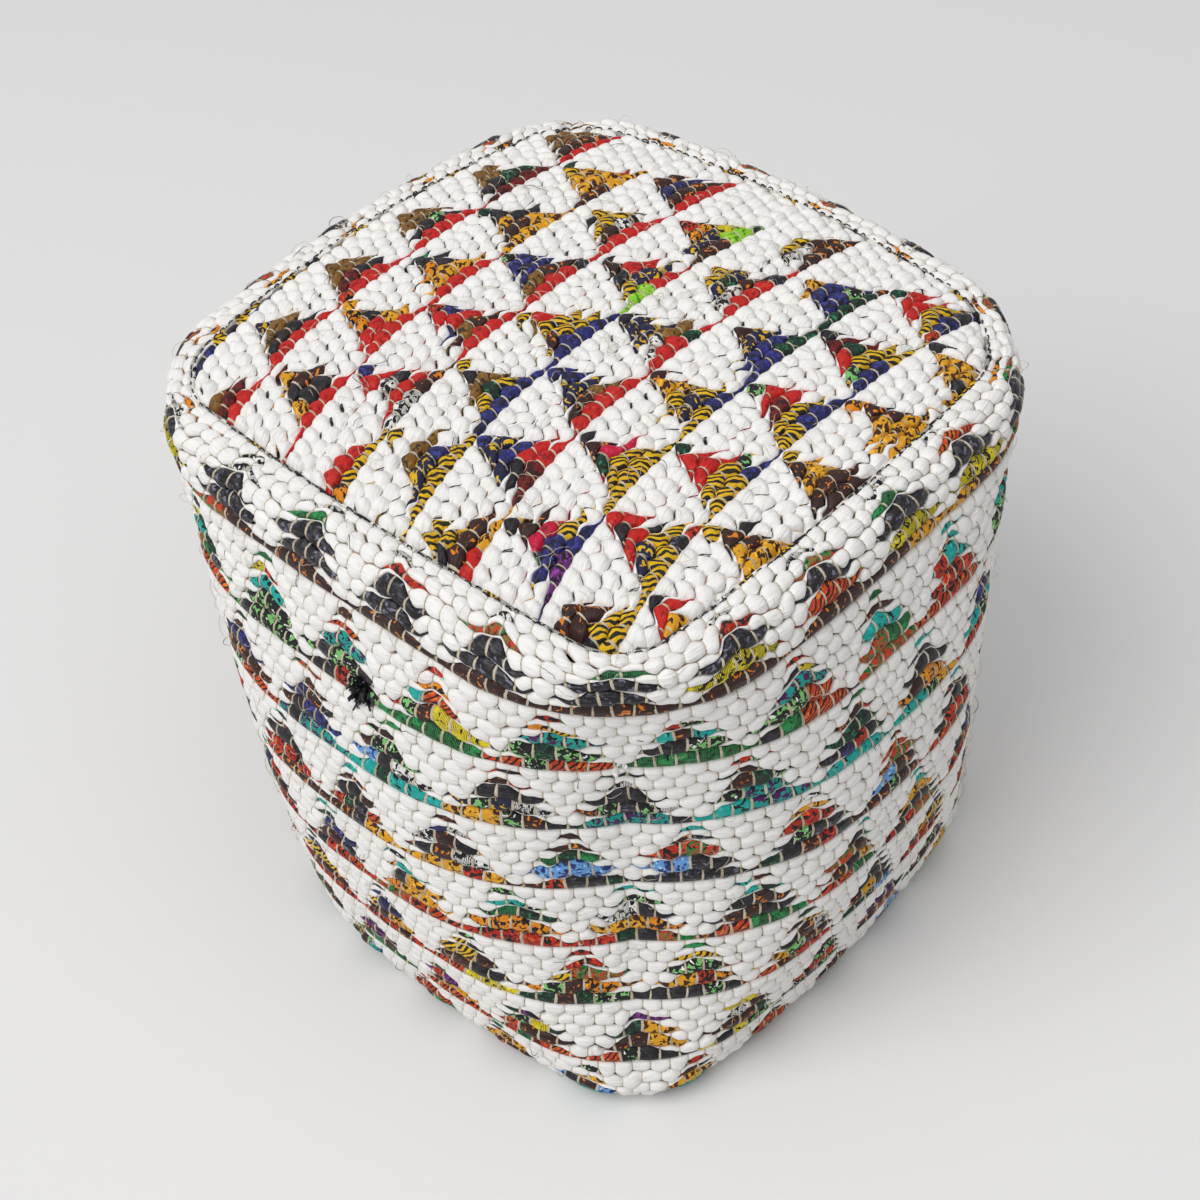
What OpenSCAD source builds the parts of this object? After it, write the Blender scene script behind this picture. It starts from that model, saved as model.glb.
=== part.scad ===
// Woven rag pouf: a soft cube footstool with a crowned top, bowed sides and a zip in its base.
// The origin is at the middle of the base, +Z up. The front corner points to +X and -Y.

/* [Body] */
// Width from rim to rim along X, at the corners
width = 391; // [340:1:480]
// Depth from rim to rim along Y, at the corners
depth = 384; // [340:1:480]
// Height of the top seam above the floor
seam_height = 397; // [300:1:460]
// How far each side bows out at the rim
bow_rim = 13; // [0:1:25]
// How far each side bows out at half height
bow_middle = 37; // [10:1:50]
// How far each side bows out at the foot
bow_foot = 21; // [0:1:30]
// How far the sides are drawn in on their way to the foot
draw_in = 16; // [4:1:30]
// Radius that rounds the sides under at the foot
foot_round = 22; // [14:1:34]
// Thickness of the woven cloth
cloth = 7; // [5:0.5:9]

/* [Corners] */
// Corner radius of the top seam at the front
seam_corner_front = 41; // [36:1:90]
// Corner radius of the top seam at the right
seam_corner_right = 64; // [36:1:90]
// Corner radius of the top seam at the back and left
seam_corner_back = 47; // [36:1:90]
// Corner radius at half height, where the filling rounds it most
corner_middle = 157; // [90:1:165]
// Corner radius of the foot at the front
foot_corner_front = 51; // [46:1:160]
// Corner radius of the foot at the right and back
foot_corner_right = 70; // [46:1:160]
// Corner radius of the foot at the left
foot_corner_left = 150; // [46:1:160]

/* [Top] */
// Distance from the rim in to the top seam
rim_inset = 27.7; // [22:0.1:36]
// Height over which the rim turns down into the side
rim_drop = 32.8; // [26:0.1:44]
// How far the rim swells above the top seam
rim_swell = 3; // [0:0.1:6]
// How far the seam sags at the corners
corner_sag = 7.5; // [0:0.5:14]
// Depth of the groove that the top seam draws
groove = 2.5; // [0.5:0.1:4]
// Crown of the top panel above its edge
crown = 11; // [0:0.5:24]
// Cloth turned down inside each edge of the top seam
seam_allowance = 14; // [12:0.5:18]

/* [Base] */
// Thickness of the base canvas
canvas = 1.6; // [1:0.1:2.4]
// Width of side cloth that laps over the base canvas inside
lap = 12; // [8:0.5:15]
// Height of the recess that keeps the zip off the floor
recess = 7.5; // [7.5:0.1:9]
// Half width of the flat bottom of the recess
recess_half = 24; // [22:0.5:28]
// Width of the slope round the recess
recess_slope = 10; // [8:0.5:12]

/* [Zip] */
// Length of the rows of teeth
zip_length = 260; // [180:1:268]
// Width of each zip tape
tape_width = 14; // [12:0.5:16]
// Thickness of each zip tape
tape = 0.8; // [0.6:0.1:1]
// Spacing of the teeth
tooth_pitch = 4; // [3.5:0.25:6]
// Length of one tooth along the zip
tooth_length = 2.4; // [1.6:0.1:2.8]
// Height of the teeth
tooth_height = 2.4; // [2.2:0.1:3]
// Width of each row of teeth
tooth_row = 2.25; // [2:0.05:2.6]
// Width of the gap between the rows, where the slider's post runs
row_gap = 1.5; // [1.2:0.1:2]
// Length of each end stop
stop_length = 3; // [2:0.5:4]
// Length of the slider
slider_length = 13; // [10:0.5:16]
// Thickness of the slider's two plates
slider_plate = 1.2; // [1:0.1:1.4]
// Thickness of the slider's side walls
slider_wall = 1.4; // [1:0.1:1.6]
// Radius of the slider's bar, on which the pull turns
bar_r = 0.7; // [0.6:0.05:0.9]
// Length of the pull from the bar to its tip
pull_length = 19; // [14:0.5:22]
// Width of the pull
pull_width = 6; // [5:0.5:8]
// Thickness of the pull
pull_plate = 1.2; // [0.8:0.1:1.4]

/* [Inside] */
// Thickness of the liner bag's cloth
liner = 0.8; // [0.6:0.1:1.2]

/* [Fits] */
// Gap between pieces that lie against each other
fit_gap = 0.3; // [0.25:0.01:0.4]
// Thickness of the sewing thread
thread = 1; // [0.8:0.05:1.2]

/* [Hidden] */

// Steps round each corner and along each side of a ring
ARC = 6;
RUN = 5;
QUARTER = ARC + RUN;
ROUND = 4 * QUARTER;

// A seam holds one thread with a fit gap on both sides of it
seam_gap = thread + 2 * fit_gap;
half_x = width / 2;
half_y = depth / 2;
rim_foot = seam_height - rim_drop;

// Corner radii in ring order: back, left, front, right
seam_corners = [seam_corner_back, seam_corner_back, seam_corner_front, seam_corner_right];
foot_corners = [foot_corner_right, foot_corner_left, foot_corner_front, foot_corner_right];
// The two signs of each corner in ring order
CORNERS = [[-1, 1], [-1, -1], [1, -1], [1, 1]];

// Parabola through three values at 0, m and 1
function bend(a, b, c, m, w) =
    a * (w - m) * (w - 1) / m + b * w * (w - 1) / (m * (m - 1)) + c * w * (w - m) / (1 - m);

// The cover's profile: t is 0 to 1 over the rim, 1 to 2 down the side and 2 to 3 under the foot.
// out() is the distance out from the rim line, up() the height above the floor.
function out(t) =
    t <= 1 ? rim_inset * (sin(90 * t) - 1)
    : t <= 2 ? -draw_in * pow(t - 1, 1.5)
    : -draw_in - foot_round * (1 - cos(90 * (t - 2)));
function up(t) =
    t <= 1 ? seam_height - rim_drop * (1 - cos(90 * t)) + rim_swell * sin(180 * t)
    : t <= 2 ? rim_foot + (foot_round - rim_foot) * (t - 1)
    : foot_round * (1 - sin(90 * (t - 2)));
// Outward normal of the profile
function slope(t) =
    t <= 1 ? [rim_drop * sin(90 * t) - 2 * rim_swell * cos(180 * t), rim_inset * cos(90 * t)]
    : t <= 2 ? [rim_foot - foot_round, -1.5 * draw_in * sqrt(t - 1)]
    : [cos(90 * (t - 2)), -sin(90 * (t - 2))];
function facing(t) = slope(t) / norm(slope(t));

function corner_radius(k, t) =
    let (top = seam_corners[k], swell = (top + corner_middle) / 2, o = min(out(t), 0) / 2)
    t <= 1 ? o + top + (swell - top) * t
    : t <= 2 ? o + bend(swell, corner_middle, foot_corners[k], 0.4, t - 1)
    : o + foot_corners[k];
function bow(t) =
    t <= 1 ? bow_rim : t <= 2 ? bend(bow_rim, bow_middle, bow_foot, 0.5, t - 1) : bow_foot;
function sag(t) = t <= 1 ? corner_sag : t <= 2 ? corner_sag * (2 - t) : 0;

// One point of a plain ring, with the direction that it faces
function plain(i, hx, hy, r) =
    let (
        k = floor((i + ARC / 2) / QUARTER) % 4,
        p = (i + ARC / 2) % QUARTER,
        n = (k + 1) % 4,
        a = 90 + 90 * k + 90 * min(p, ARC) / ARC,
        from = [CORNERS[k][0] * (hx - r[k]) + r[k] * cos(a), CORNERS[k][1] * (hy - r[k]) + r[k] * sin(a)],
        b = 180 + 90 * k,
        to = [CORNERS[n][0] * (hx - r[n]) + r[n] * cos(b), CORNERS[n][1] * (hy - r[n]) + r[n] * sin(b)]
    )
    [p <= ARC ? from : from + (to - from) * (p - ARC) / RUN, [cos(a), sin(a)]];

// 0 at a corner, 1 in the middle of a side
function middle(q, hx, hy) = 1 - pow(min(1, abs(q[0]) / hx, abs(q[1]) / hy), 2);

// A ring of the body at o from the rim line and at height z, shaped as the cover is at t
function ring(o, z, t, last = ROUND - 1) =
    let (
        hx = half_x + o,
        hy = half_y + o,
        r = [for (k = [0:3]) max(5, corner_radius(k, t) + o - out(t))]
    )
    [for (i = [0:last])
        let (q = plain(i, hx, hy, r), m = middle(q[0], hx, hy), e = q[0] + q[1] * bow(t) * m)
        [e[0], e[1], z - sag(t) * (1 - m)]];

// The same ring on the cover's outer face, or inset from it
function shell_ring(t, inset, last = ROUND - 1) =
    ring(out(t) - inset * facing(t)[0], up(t) - inset * facing(t)[1], t, last);

// Height of the top panel's upper face at share s of the way from its middle to its seam
function dome(s) = seam_height + (s < 1 ? groove : 0) + crown * (1 - pow(s, 2.5));
panel_out = -rim_inset - seam_gap;
function dome_ring(s, drop) =
    [for (q = ring(panel_out, 0, 0))
        [q[0] * s, q[1] * s, dome(s) - drop + q[2] * pow(s, 6)]];

// Two triangles for each step between rings of n points, from ring j to ring k.
// From step back on they are split the other way, so that nested shells are split alike.
function wall(j, k, n, back) =
    [for (i = [0:n - 1])
        let (a = j * n + i, b = j * n + (i + 1) % n, c = k * n + (i + 1) % n, d = k * n + i)
        each (i < back ? [[a, b, c], [a, c, d]] : [[a, b, d], [b, c, d]])];
function turned(faces, first = 0) = [for (f = faces) [first + f[2], first + f[1], first + f[0]]];

// Solid tube through a list of rings, with its two ends closed by the triangles in cap
module skin(rings, cap, back) {
    n = len(rings[0]);
    m = len(rings);
    polyhedron(
        points = [for (r = rings) each r],
        faces = concat(
            turned([for (j = [0:m - 2]) each wall(j, j + 1, n, back)]),
            cap,
            turned(cap, (m - 1) * n)
        ),
        convexity = 6
    );
}

// Solid ring whose section runs through a list of rings: outward on top, then back below
module hoop(rings, back) {
    n = len(rings[0]);
    m = len(rings);
    polyhedron(
        points = [for (r = rings) each r],
        faces = [for (j = [0:m - 1]) each wall(j, (j + 1) % m, n, j < back ? n : 0)],
        convexity = 6
    );
}

// Turns a list of rings round, so that a section can be swept from one seam end to the other
function across(rings) = [for (i = [0:len(rings[0]) - 1]) [for (r = rings) r[i]]];

// Moves the two ends of an open ring apart by the seam gap
function parted(rings) =
    [for (r = rings)
        [for (i = [0:ROUND])
            let (s = i == 0 ? 1 : i == ROUND ? -1 : 0, q = r[i % ROUND])
            q + s * seam_gap / 2 * [cos(225), sin(225), 0]]];

// Solid disc through rings from its middle out and back to its middle
module disc(rings, back) {
    n = len(rings[0]);
    m = len(rings);
    top = m * n;
    polyhedron(
        points = concat([for (r = rings) each r], [[0, 0, rings[0][0][2]], [0, 0, rings[m - 1][0][2]]]),
        faces = concat(
            [for (j = [0:m - 2]) each wall(j, j + 1, n, j < back ? n : 0)],
            [for (i = [0:n - 1]) each [[top, (i + 1) % n, i], [top + 1, top - n + i, top - n + (i + 1) % n]]]
        ),
        convexity = 6
    );
}

RIM = [1 / 3, 2 / 3, 1];
SIDE = [1.25, 1.5, 1.75, 2];
FOOT = [2 + 1 / 3, 2 + 2 / 3];
DOME = [0.2, 0.45, 0.7, 0.88];

module top_panel() {
    color("ivory")
    disc(concat(
        [for (s = DOME) dome_ring(s, 0)],
        [
            dome_ring(0.97, 0),
            ring(panel_out, seam_height, 0),
            ring(panel_out, seam_height - seam_allowance, 0),
            ring(panel_out - cloth, seam_height - seam_allowance, 0),
            ring(panel_out - cloth, seam_height - cloth, 0)
        ],
        [for (j = [len(DOME) - 1:-1:0]) dome_ring(DOME[j], cloth)]
    ), len(DOME) + 3);
}

module side_band() {
    edge = out(3);
    rings = concat(
        [ring(-rim_inset, seam_height - seam_allowance, 0), ring(-rim_inset, seam_height, 0)],
        [for (t = concat(RIM, SIDE, FOOT, [3])) shell_ring(t, 0)],
        [
            ring(edge, canvas + fit_gap, 3),
            ring(edge - lap, canvas + fit_gap, 3),
            ring(edge - lap, cloth, 3)
        ],
        [for (j = [1:-1:0]) shell_ring(FOOT[j], cloth)],
        [for (j = [3:-1:0]) shell_ring(SIDE[j], cloth)],
        [for (j = [2:-1:0]) shell_ring(RIM[j], cloth)],
        [
            ring(cloth - rim_inset, seam_height - cloth - 1, 0),
            ring(cloth - rim_inset, seam_height - seam_allowance, 0)
        ]
    );
    // The section's outer points pair with its inner ones, up to the step at the lap
    n = len(rings);
    k = 1 + len(RIM) + len(SIDE) + len(FOOT);
    cap = concat(
        [for (j = [0:k - 1]) each [[j, j + 1, n - 1 - j], [j + 1, n - 2 - j, n - 1 - j]]],
        [[k, k + 1, k + 2], [k, k + 2, k + 5], [k + 2, k + 3, k + 4], [k + 2, k + 4, k + 5]]
    );
    color("linen") skin(across(parted(rings)), cap, k + 2);
}

canvas_out = out(3) - seam_gap;
slot_half = tooth_row + row_gap / 2 + slider_wall + 1.2;
slot_end = zip_length / 2 + stop_length + 2;
recess_end = slot_end + 5;

// Four-sided hill over the zip: its flat top is at height h, and it is grown outward by e
module hill(h, e) {
    hull() {
        translate([0, 0, h / 2])
            cube([2 * (recess_end + e), 2 * (recess_half + e), h], center = true);
        translate([0, 0, -0.5])
            cube([2 * (recess_end + recess_slope + e), 2 * (recess_half + recess_slope + e), 1], center = true);
    }
}

module base_canvas() {
    difference() {
        union() {
            linear_extrude(canvas) polygon([for (q = ring(canvas_out, 0, 3)) [q[0], q[1]]]);
            intersection() {
                hill(recess + canvas, canvas);
                translate([0, 0, 50]) cube([width, depth, 100], center = true);
            }
        }
        hill(recess, 0);
        cube([2 * slot_end, 2 * slot_half, 60], center = true);
        cube([2 * width, fit_gap, 60], center = true);
    }
}

module base_canvas_front() {
    color("beige") intersection() {
        base_canvas();
        translate([-width, -depth, -1]) cube([2 * width, depth, 60]);
    }
}

module base_canvas_back() {
    color("beige") intersection() {
        base_canvas();
        translate([-width, 0, -1]) cube([2 * width, depth, 60]);
    }
}

// A thread's four-sided section swept round a ring, centred on o and z
module ring_thread(o, z, t) {
    h = thread / 2;
    hoop([ring(o - h, z, t), ring(o, z + h, t), ring(o + h, z, t), ring(o, z - h, t)], 2);
}

module top_seam_thread() {
    color("dimgray") ring_thread(-rim_inset - seam_gap / 2, seam_height - groove - thread, 0);
}

module base_seam_thread() {
    color("beige") ring_thread(out(3) - seam_gap / 2, canvas / 2, 3);
}

// The thread in the upright seam lies between the band's two ends at the back corner
module side_seam_thread() {
    h = thread / 2;
    sunk = cloth / 2;
    along = [cos(225), sin(225), 0];
    path = [for (t = concat([0.5], RIM[2], SIDE, FOOT))
        each [[shell_ring(t, sunk, 0)[0], shell_ring(t, sunk - h, 0)[0], shell_ring(t, sunk + h, 0)[0]]]];
    color("beige")
        skin([for (p = path) [p[0] + h * along, p[1], p[0] - h * along, p[2]]], [[0, 1, 2], [0, 2, 3]], 2);
}

canvas_top = recess + canvas;
tape_low = canvas_top + fit_gap;
teeth_out = row_gap / 2 + tooth_row;
teeth_mid = tape_low + tape / 2;

module zip_tape() {
    translate([-slot_end, teeth_out + fit_gap, tape_low]) cube([2 * slot_end, tape_width, tape]);
}

module zip_tape_front() {
    color("tan") mirror([0, 1, 0]) zip_tape();
}

module zip_tape_back() {
    color("tan") zip_tape();
}

// A row of teeth on the cord at the tape's edge
module zip_teeth(first) {
    cord_w = tooth_row / 2;
    translate([-zip_length / 2, teeth_out - cord_w, teeth_mid - tooth_height / 4])
        cube([zip_length, cord_w, tooth_height / 2]);
    for (x = [first:tooth_pitch:zip_length - tooth_length])
        translate([x - zip_length / 2, row_gap / 2, teeth_mid - tooth_height / 2])
            cube([tooth_length, tooth_row, tooth_height]);
}

module zip_teeth_front() {
    color("ivory") mirror([0, 1, 0]) zip_teeth(0);
}

module zip_teeth_back() {
    color("ivory") zip_teeth(min(tooth_pitch / 2, zip_length - tooth_length));
}

// The row of stitches that holds a tape to the canvas, on the tape's inner face
module zip_thread() {
    translate([-slot_end + 2, teeth_out + fit_gap + tape_width / 2, tape_low + tape + fit_gap])
        cube([2 * slot_end - 4, thread, thread]);
}

module zip_thread_front() {
    color("beige") mirror([0, 1, 0]) zip_thread();
}

module zip_thread_back() {
    color("beige") zip_thread();
}

module top_stop() {
    translate([-zip_length / 2 - stop_length, row_gap / 2, teeth_mid - tooth_height / 2])
        cube([stop_length - fit_gap, tooth_row, tooth_height]);
}

module zip_top_stop_front() {
    color("silver") mirror([0, 1, 0]) top_stop();
}

module zip_top_stop_back() {
    color("silver") top_stop();
}

module zip_bottom_stop() {
    color("silver")
        translate([zip_length / 2 + fit_gap, -teeth_out, teeth_mid - tooth_height / 2])
            cube([stop_length - fit_gap, 2 * teeth_out, tooth_height]);
}

// The slider stands at the closed end of the zip
slider_x = -zip_length / 2 + slider_length / 2 + 1;
slider_half = teeth_out + fit_gap + slider_wall;
cavity_low = teeth_mid - tooth_height / 2 - 0.4;
cavity_high = teeth_mid + tooth_height / 2 + 0.4;
eye_r = bar_r + 0.3 + 0.9;
bar_z = cavity_low - slider_plate - eye_r - fit_gap;
pull_neck = 3.8;

module zip_slider() {
    lug = 1.2;
    color("silver")
    translate([slider_x, 0, 0]) {
        difference() {
            translate([-slider_length / 2, -slider_half, cavity_low - slider_plate])
                cube([slider_length, 2 * slider_half, cavity_high - cavity_low + 2 * slider_plate]);
            translate([-slider_length, -teeth_out - fit_gap, cavity_low])
                cube([2 * slider_length, 2 * (teeth_out + fit_gap), cavity_high - cavity_low]);
            // Slots through which the tapes pass
            translate([-slider_length, -2 * slider_half, tape_low - fit_gap])
                cube([2 * slider_length, 4 * slider_half, tape + 2 * fit_gap]);
        }
        // Post between the two rows of teeth
        translate([-slider_length / 4, -row_gap / 2 + 0.35, cavity_low - 0.1])
            cube([3, row_gap - 0.7, cavity_high - cavity_low + 0.2]);
        // Two lugs and the bar between them
        for (s = [-1, 1])
            translate([-eye_r, s * (pull_neck / 2 + fit_gap + lug / 2) - lug / 2, bar_z - bar_r - 0.5])
                cube([2 * eye_r, lug, cavity_low - slider_plate / 2 - bar_z + bar_r + 0.5]);
        translate([0, 0, bar_z]) rotate([90, 0, 0])
            cylinder(r = bar_r, h = pull_neck + 2 * fit_gap + lug, center = true, $fn = 32);
    }
}

// The pull lies along the zip under the slider, with its tip near the floor
pull_tilt = asin((bar_z - pull_plate / 2 - fit_gap) / pull_length);

module zip_pull() {
    color("silver")
    translate([slider_x, 0, bar_z])
    rotate([0, pull_tilt, 0])
    difference() {
        union() {
            rotate([90, 0, 0]) cylinder(r = eye_r, h = pull_neck, center = true, $fn = 48);
            translate([0, -pull_neck / 2, -pull_plate / 2]) cube([pull_length / 2, pull_neck, pull_plate]);
            translate([eye_r + 2.2, -pull_width / 2, -pull_plate / 2])
                cube([pull_length - eye_r - 2.2, pull_width, pull_plate]);
        }
        rotate([90, 0, 0]) cylinder(r = bar_r + 0.3, h = pull_neck + 1, center = true, $fn = 48);
    }
}

// The liner bag stands off the cloth by this much
liner_gap = fit_gap + 0.1;
liner_in = cloth + liner_gap;
fill_in = liner_in + liner + fit_gap;
pad_low = canvas + liner_gap;
neck_out = panel_out - cloth - liner_gap;
neck_top = seam_height - liner_in - 2;
foot_end = out(3) - lap;

// Inside the foot the liner runs flat over the lap, then down a slope to the canvas.
// lean is the sideways share of an offset that keeps the slope's thickness.
lap_over = 1.5;
lap_slope = 6;
slope_run = lap_slope - lap_over;
slope_fall = cloth - canvas;
lean = (norm([slope_run, slope_fall]) - slope_run) / slope_fall;
function foot_path(e) = [
    ring(foot_end, cloth + liner_gap + e, 3),
    ring(foot_end - lap_over - lean * e, cloth + liner_gap + e, 3),
    ring(foot_end - lap_slope - lean * e, pad_low + e, 3)
];

module liner_top() {
    color("white")
    disc(concat(
        [for (s = DOME) dome_ring(s, liner_in)],
        [
            ring(neck_out, neck_top, 0),
            ring(neck_out, neck_top - liner, 0)
        ],
        [for (j = [len(DOME) - 1:-1:0]) dome_ring(DOME[j], liner_in + liner)]
    ), len(DOME) + 1);
}

// The path of the liner's side: down beside the seam allowance, out under the rim, down, and over the lap
function liner_path(e) = [
    ring(neck_out - e, neck_top - liner - fit_gap, 0),
    ring(neck_out - e, seam_height - seam_allowance - liner_gap - e, 0),
    ring(out(1) - liner_in - e, up(1) - e, 1),
    for (t = concat(SIDE, FOOT)) shell_ring(t, liner_in + e),
    each foot_path(e)
];

module liner_side() {
    outer = liner_path(0);
    inner = liner_path(liner);
    color("white")
    hoop(concat(outer, [for (j = [len(inner) - 1:-1:0]) inner[j]]), len(outer));
}

module liner_base() {
    color("white")
    intersection() {
        difference() {
            union() {
                translate([-width, -depth, pad_low]) cube([2 * width, 2 * depth, liner]);
                translate([0, 0, pad_low]) hill(hood_top - pad_low + liner, hood_grow + liner);
            }
            translate([0, 0, pad_low]) hill(hood_top - pad_low, hood_grow);
        }
        translate([0, 0, pad_low])
            linear_extrude(60)
                polygon([for (q = ring(foot_end - lap_slope - lean * liner - fit_gap, 0, 3)) [q[0], q[1]]]);
    }
}

// The liner is pushed up over the zip, clear of the slider
hood_top = cavity_high + slider_plate + liner_gap;
hood_grow = 2.5;

module bead_fill() {
    gap = liner + fit_gap;
    rings = concat(
        [for (s = DOME) dome_ring(s, fill_in)],
        [
            ring(neck_out - gap, neck_top - gap, 0),
            ring(neck_out - gap, seam_height - seam_allowance - liner_gap - gap, 0)
        ],
        [ring(out(1) - fill_in, up(1) - gap, 1)],
        [for (t = concat(SIDE, FOOT)) shell_ring(t, fill_in)],
        foot_path(gap),
        [[for (q = foot_path(gap)[2]) [q[0] / 2, q[1] / 2, q[2]]]]
    );
    color("whitesmoke")
    difference() {
        disc(rings, len(rings));
        translate([0, 0, pad_low + gap]) hill(hood_top - pad_low, hood_grow + gap);
    }
}

top_panel();
side_band();
base_canvas_front();
base_canvas_back();
top_seam_thread();
side_seam_thread();
base_seam_thread();
zip_tape_front();
zip_tape_back();
zip_teeth_front();
zip_teeth_back();
zip_thread_front();
zip_thread_back();
zip_top_stop_front();
zip_top_stop_back();
zip_bottom_stop();
zip_slider();
zip_pull();
liner_top();
liner_side();
liner_base();
bead_fill();
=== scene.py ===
"""Looks of a woven rag pouf: a bead-filled cube of woven cotton rags with a zip in its base."""

import math

import bpy
import numpy as np
from mathutils import Matrix, Vector


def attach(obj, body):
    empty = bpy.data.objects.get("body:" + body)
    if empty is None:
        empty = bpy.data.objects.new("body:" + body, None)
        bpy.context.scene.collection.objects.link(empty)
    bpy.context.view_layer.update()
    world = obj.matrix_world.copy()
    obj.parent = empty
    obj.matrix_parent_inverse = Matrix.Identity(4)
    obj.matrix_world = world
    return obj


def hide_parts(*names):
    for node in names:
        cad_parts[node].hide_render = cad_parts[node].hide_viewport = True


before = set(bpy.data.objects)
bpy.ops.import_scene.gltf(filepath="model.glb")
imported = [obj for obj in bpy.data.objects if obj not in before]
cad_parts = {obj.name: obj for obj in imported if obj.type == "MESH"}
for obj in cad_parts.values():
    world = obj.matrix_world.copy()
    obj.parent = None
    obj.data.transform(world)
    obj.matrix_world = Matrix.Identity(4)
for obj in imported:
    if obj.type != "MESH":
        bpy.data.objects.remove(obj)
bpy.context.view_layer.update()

MM = 0.001
# Sizes of the cover, the same as in the CAD source
HALF_X = 195.5 * MM
HALF_Y = 192 * MM
SEAM_HEIGHT = 397 * MM
BOW_RIM = 13 * MM
BOW_MIDDLE = 37 * MM
BOW_FOOT = 21 * MM
DRAW_IN = 16 * MM
FOOT_ROUND = 22 * MM
CORNER_MIDDLE = 157 * MM
# Corner radii in the order front, right, back, left
SEAM_CORNERS = np.array([41, 64, 47, 47]) * MM
FOOT_CORNERS = np.array([51, 70, 70, 150]) * MM
RIM_INSET = 27.7 * MM
RIM_DROP = 32.8 * MM
RIM_SWELL = 3 * MM
CORNER_SAG = 7.5 * MM
GROOVE = 2.5 * MM
CROWN = 11 * MM
SEAM_GAP = 1.6 * MM
# How thick the woven cloth is
CLOTH = 7 * MM
PANEL_OUT = -RIM_INSET - SEAM_GAP
RIM_FOOT = SEAM_HEIGHT - RIM_DROP
LEAST_RADIUS = 5 * MM
# Where on the side, from its top to its foot, the middle sizes of the corners and the bow hold
CORNER_MIDDLE_AT = 0.4
BOW_MIDDLE_AT = 0.5
# Powers of the share of the way out, by which the crown falls and the panel takes up its edge's sag
CROWN_POWER = 2.5
SAG_POWER = 6
# The recess in the base round the zip, the slot in the canvas and the zip's tapes
RECESS = 7.5 * MM
RECESS_HALF = 24 * MM
RECESS_END = 140 * MM
RECESS_SLOPE = 10 * MM
SLOT_END = 135 * MM
SLOT_HALF = 5.6 * MM
TAPE_IN = 3.3 * MM
TAPE_WIDTH = 14 * MM
TAPE_LOW = 9.4 * MM
TAPE_END = 135 * MM
# The bag inside the cover, the inset of its base from the foot and that base's rise over the zip
LINER = 0.8 * MM
LINER_GAP = 0.4 * MM
BAG_INSET = 19 * MM
BAG_RISE = 11 * MM

# The side's weave: courses down from the top seam, pebbles round the body
SIDE_FIRST = 2.84 * MM
SIDE_PITCH = 10.74 * MM
SIDE_PEBBLE = 0.00761
SIDE_PEBBLE_WIDTH = 10.8 * MM
# How the side's pebbles drift round the body with depth: a start, a slope and a curve
DRIFT_START = 0.0001
DRIFT_SLOPE = 0.0204
DRIFT_CURVE = 0.002535
DRIFT_DEPTH = 0.2
DRIFT_SCALE = 0.88
# The share of the way round at which the side's cloth ends, and how wide and deep it turns in there
SIDE_END = 0.4995
SIDE_TURN = 6 * MM
SIDE_SINK = 3.2 * MM
# The top's weave: courses across X, pebbles along Y
TOP_PITCH = 8.976 * MM
TOP_PEBBLE = 10.09 * MM
# X of the base row of the top's last band, and Y of the middle of its patches
TOP_LAST = 177.48 * MM
TOP_MIDDLE = -11.09 * MM
# The slant and curve of the top's courses, their further curve at the near edge, and their skew
TOP_SLANT = 0.0163
TOP_CURVE = 10.47 * MM
TOP_NEAR_CURVE = 18.3 * MM
TOP_NEAR_FROM = 0.3
TOP_HALF = 0.1643
TOP_SKEW = 0.0044
# A band of the pattern is five rows. Each row is laid double, a coloured course and a white one
# that closes over the ends of the coloured patches, so a band has ten courses.
ROWS = 5
COURSES = 10
SEED = 11
# Points round the body in the maps of its faces
ROUND = 1441
# The side map's column that depths are measured on, in the middle of the right-hand face
MEASURED = 0.625
# How far the maps go on past the seam and the foot
MAP_TURN = 10 * MM
# A colour ramp holds 32 colours at most
RAMP_STEPS = 32.0
BACKDROP = "e4e4e3"


def bend(a, b, c, m, w):
    """Parabola through a, b and c at 0, m and 1."""
    return a * (w - m) * (w - 1) / m + b * w * (w - 1) / (m * (m - 1)) + c * w * (w - m) / (1 - m)


def out(t):
    """How far out the cover's profile is at t: 0 to 1 is the rim, 1 to 2 the side, 2 to 3 the foot."""
    if t <= 1:
        return RIM_INSET * (math.sin(t * math.pi / 2) - 1)
    if t <= 2:
        return -DRAW_IN * (t - 1) ** 1.5
    return -DRAW_IN - FOOT_ROUND * (1 - math.cos((t - 2) * math.pi / 2))


def up(t):
    """The height of the cover's profile at t."""
    if t <= 1:
        return SEAM_HEIGHT - RIM_DROP * (1 - math.cos(t * math.pi / 2)) + RIM_SWELL * math.sin(t * math.pi)
    if t <= 2:
        return RIM_FOOT + (FOOT_ROUND - RIM_FOOT) * (t - 1)
    return FOOT_ROUND * (1 - math.sin((t - 2) * math.pi / 2))


def corner_radii(t):
    """The four corner radii at t, smaller where the profile is drawn in."""
    swell = (SEAM_CORNERS + CORNER_MIDDLE) / 2
    inward = min(out(t), 0) / 2
    if t <= 1:
        return inward + SEAM_CORNERS + (swell - SEAM_CORNERS) * t
    if t <= 2:
        return inward + bend(swell, CORNER_MIDDLE, FOOT_CORNERS, CORNER_MIDDLE_AT, t - 1)
    return inward + FOOT_CORNERS


def bow(t):
    """How far the middle of each side bows out at t."""
    if t <= 1:
        return BOW_RIM
    if t <= 2:
        return bend(BOW_RIM, BOW_MIDDLE, BOW_FOOT, BOW_MIDDLE_AT, t - 1)
    return BOW_FOOT


def sag(t):
    """How far the corners lie below the middles of the sides at t."""
    return CORNER_SAG * min(max(2 - t, 0), 1)


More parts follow.
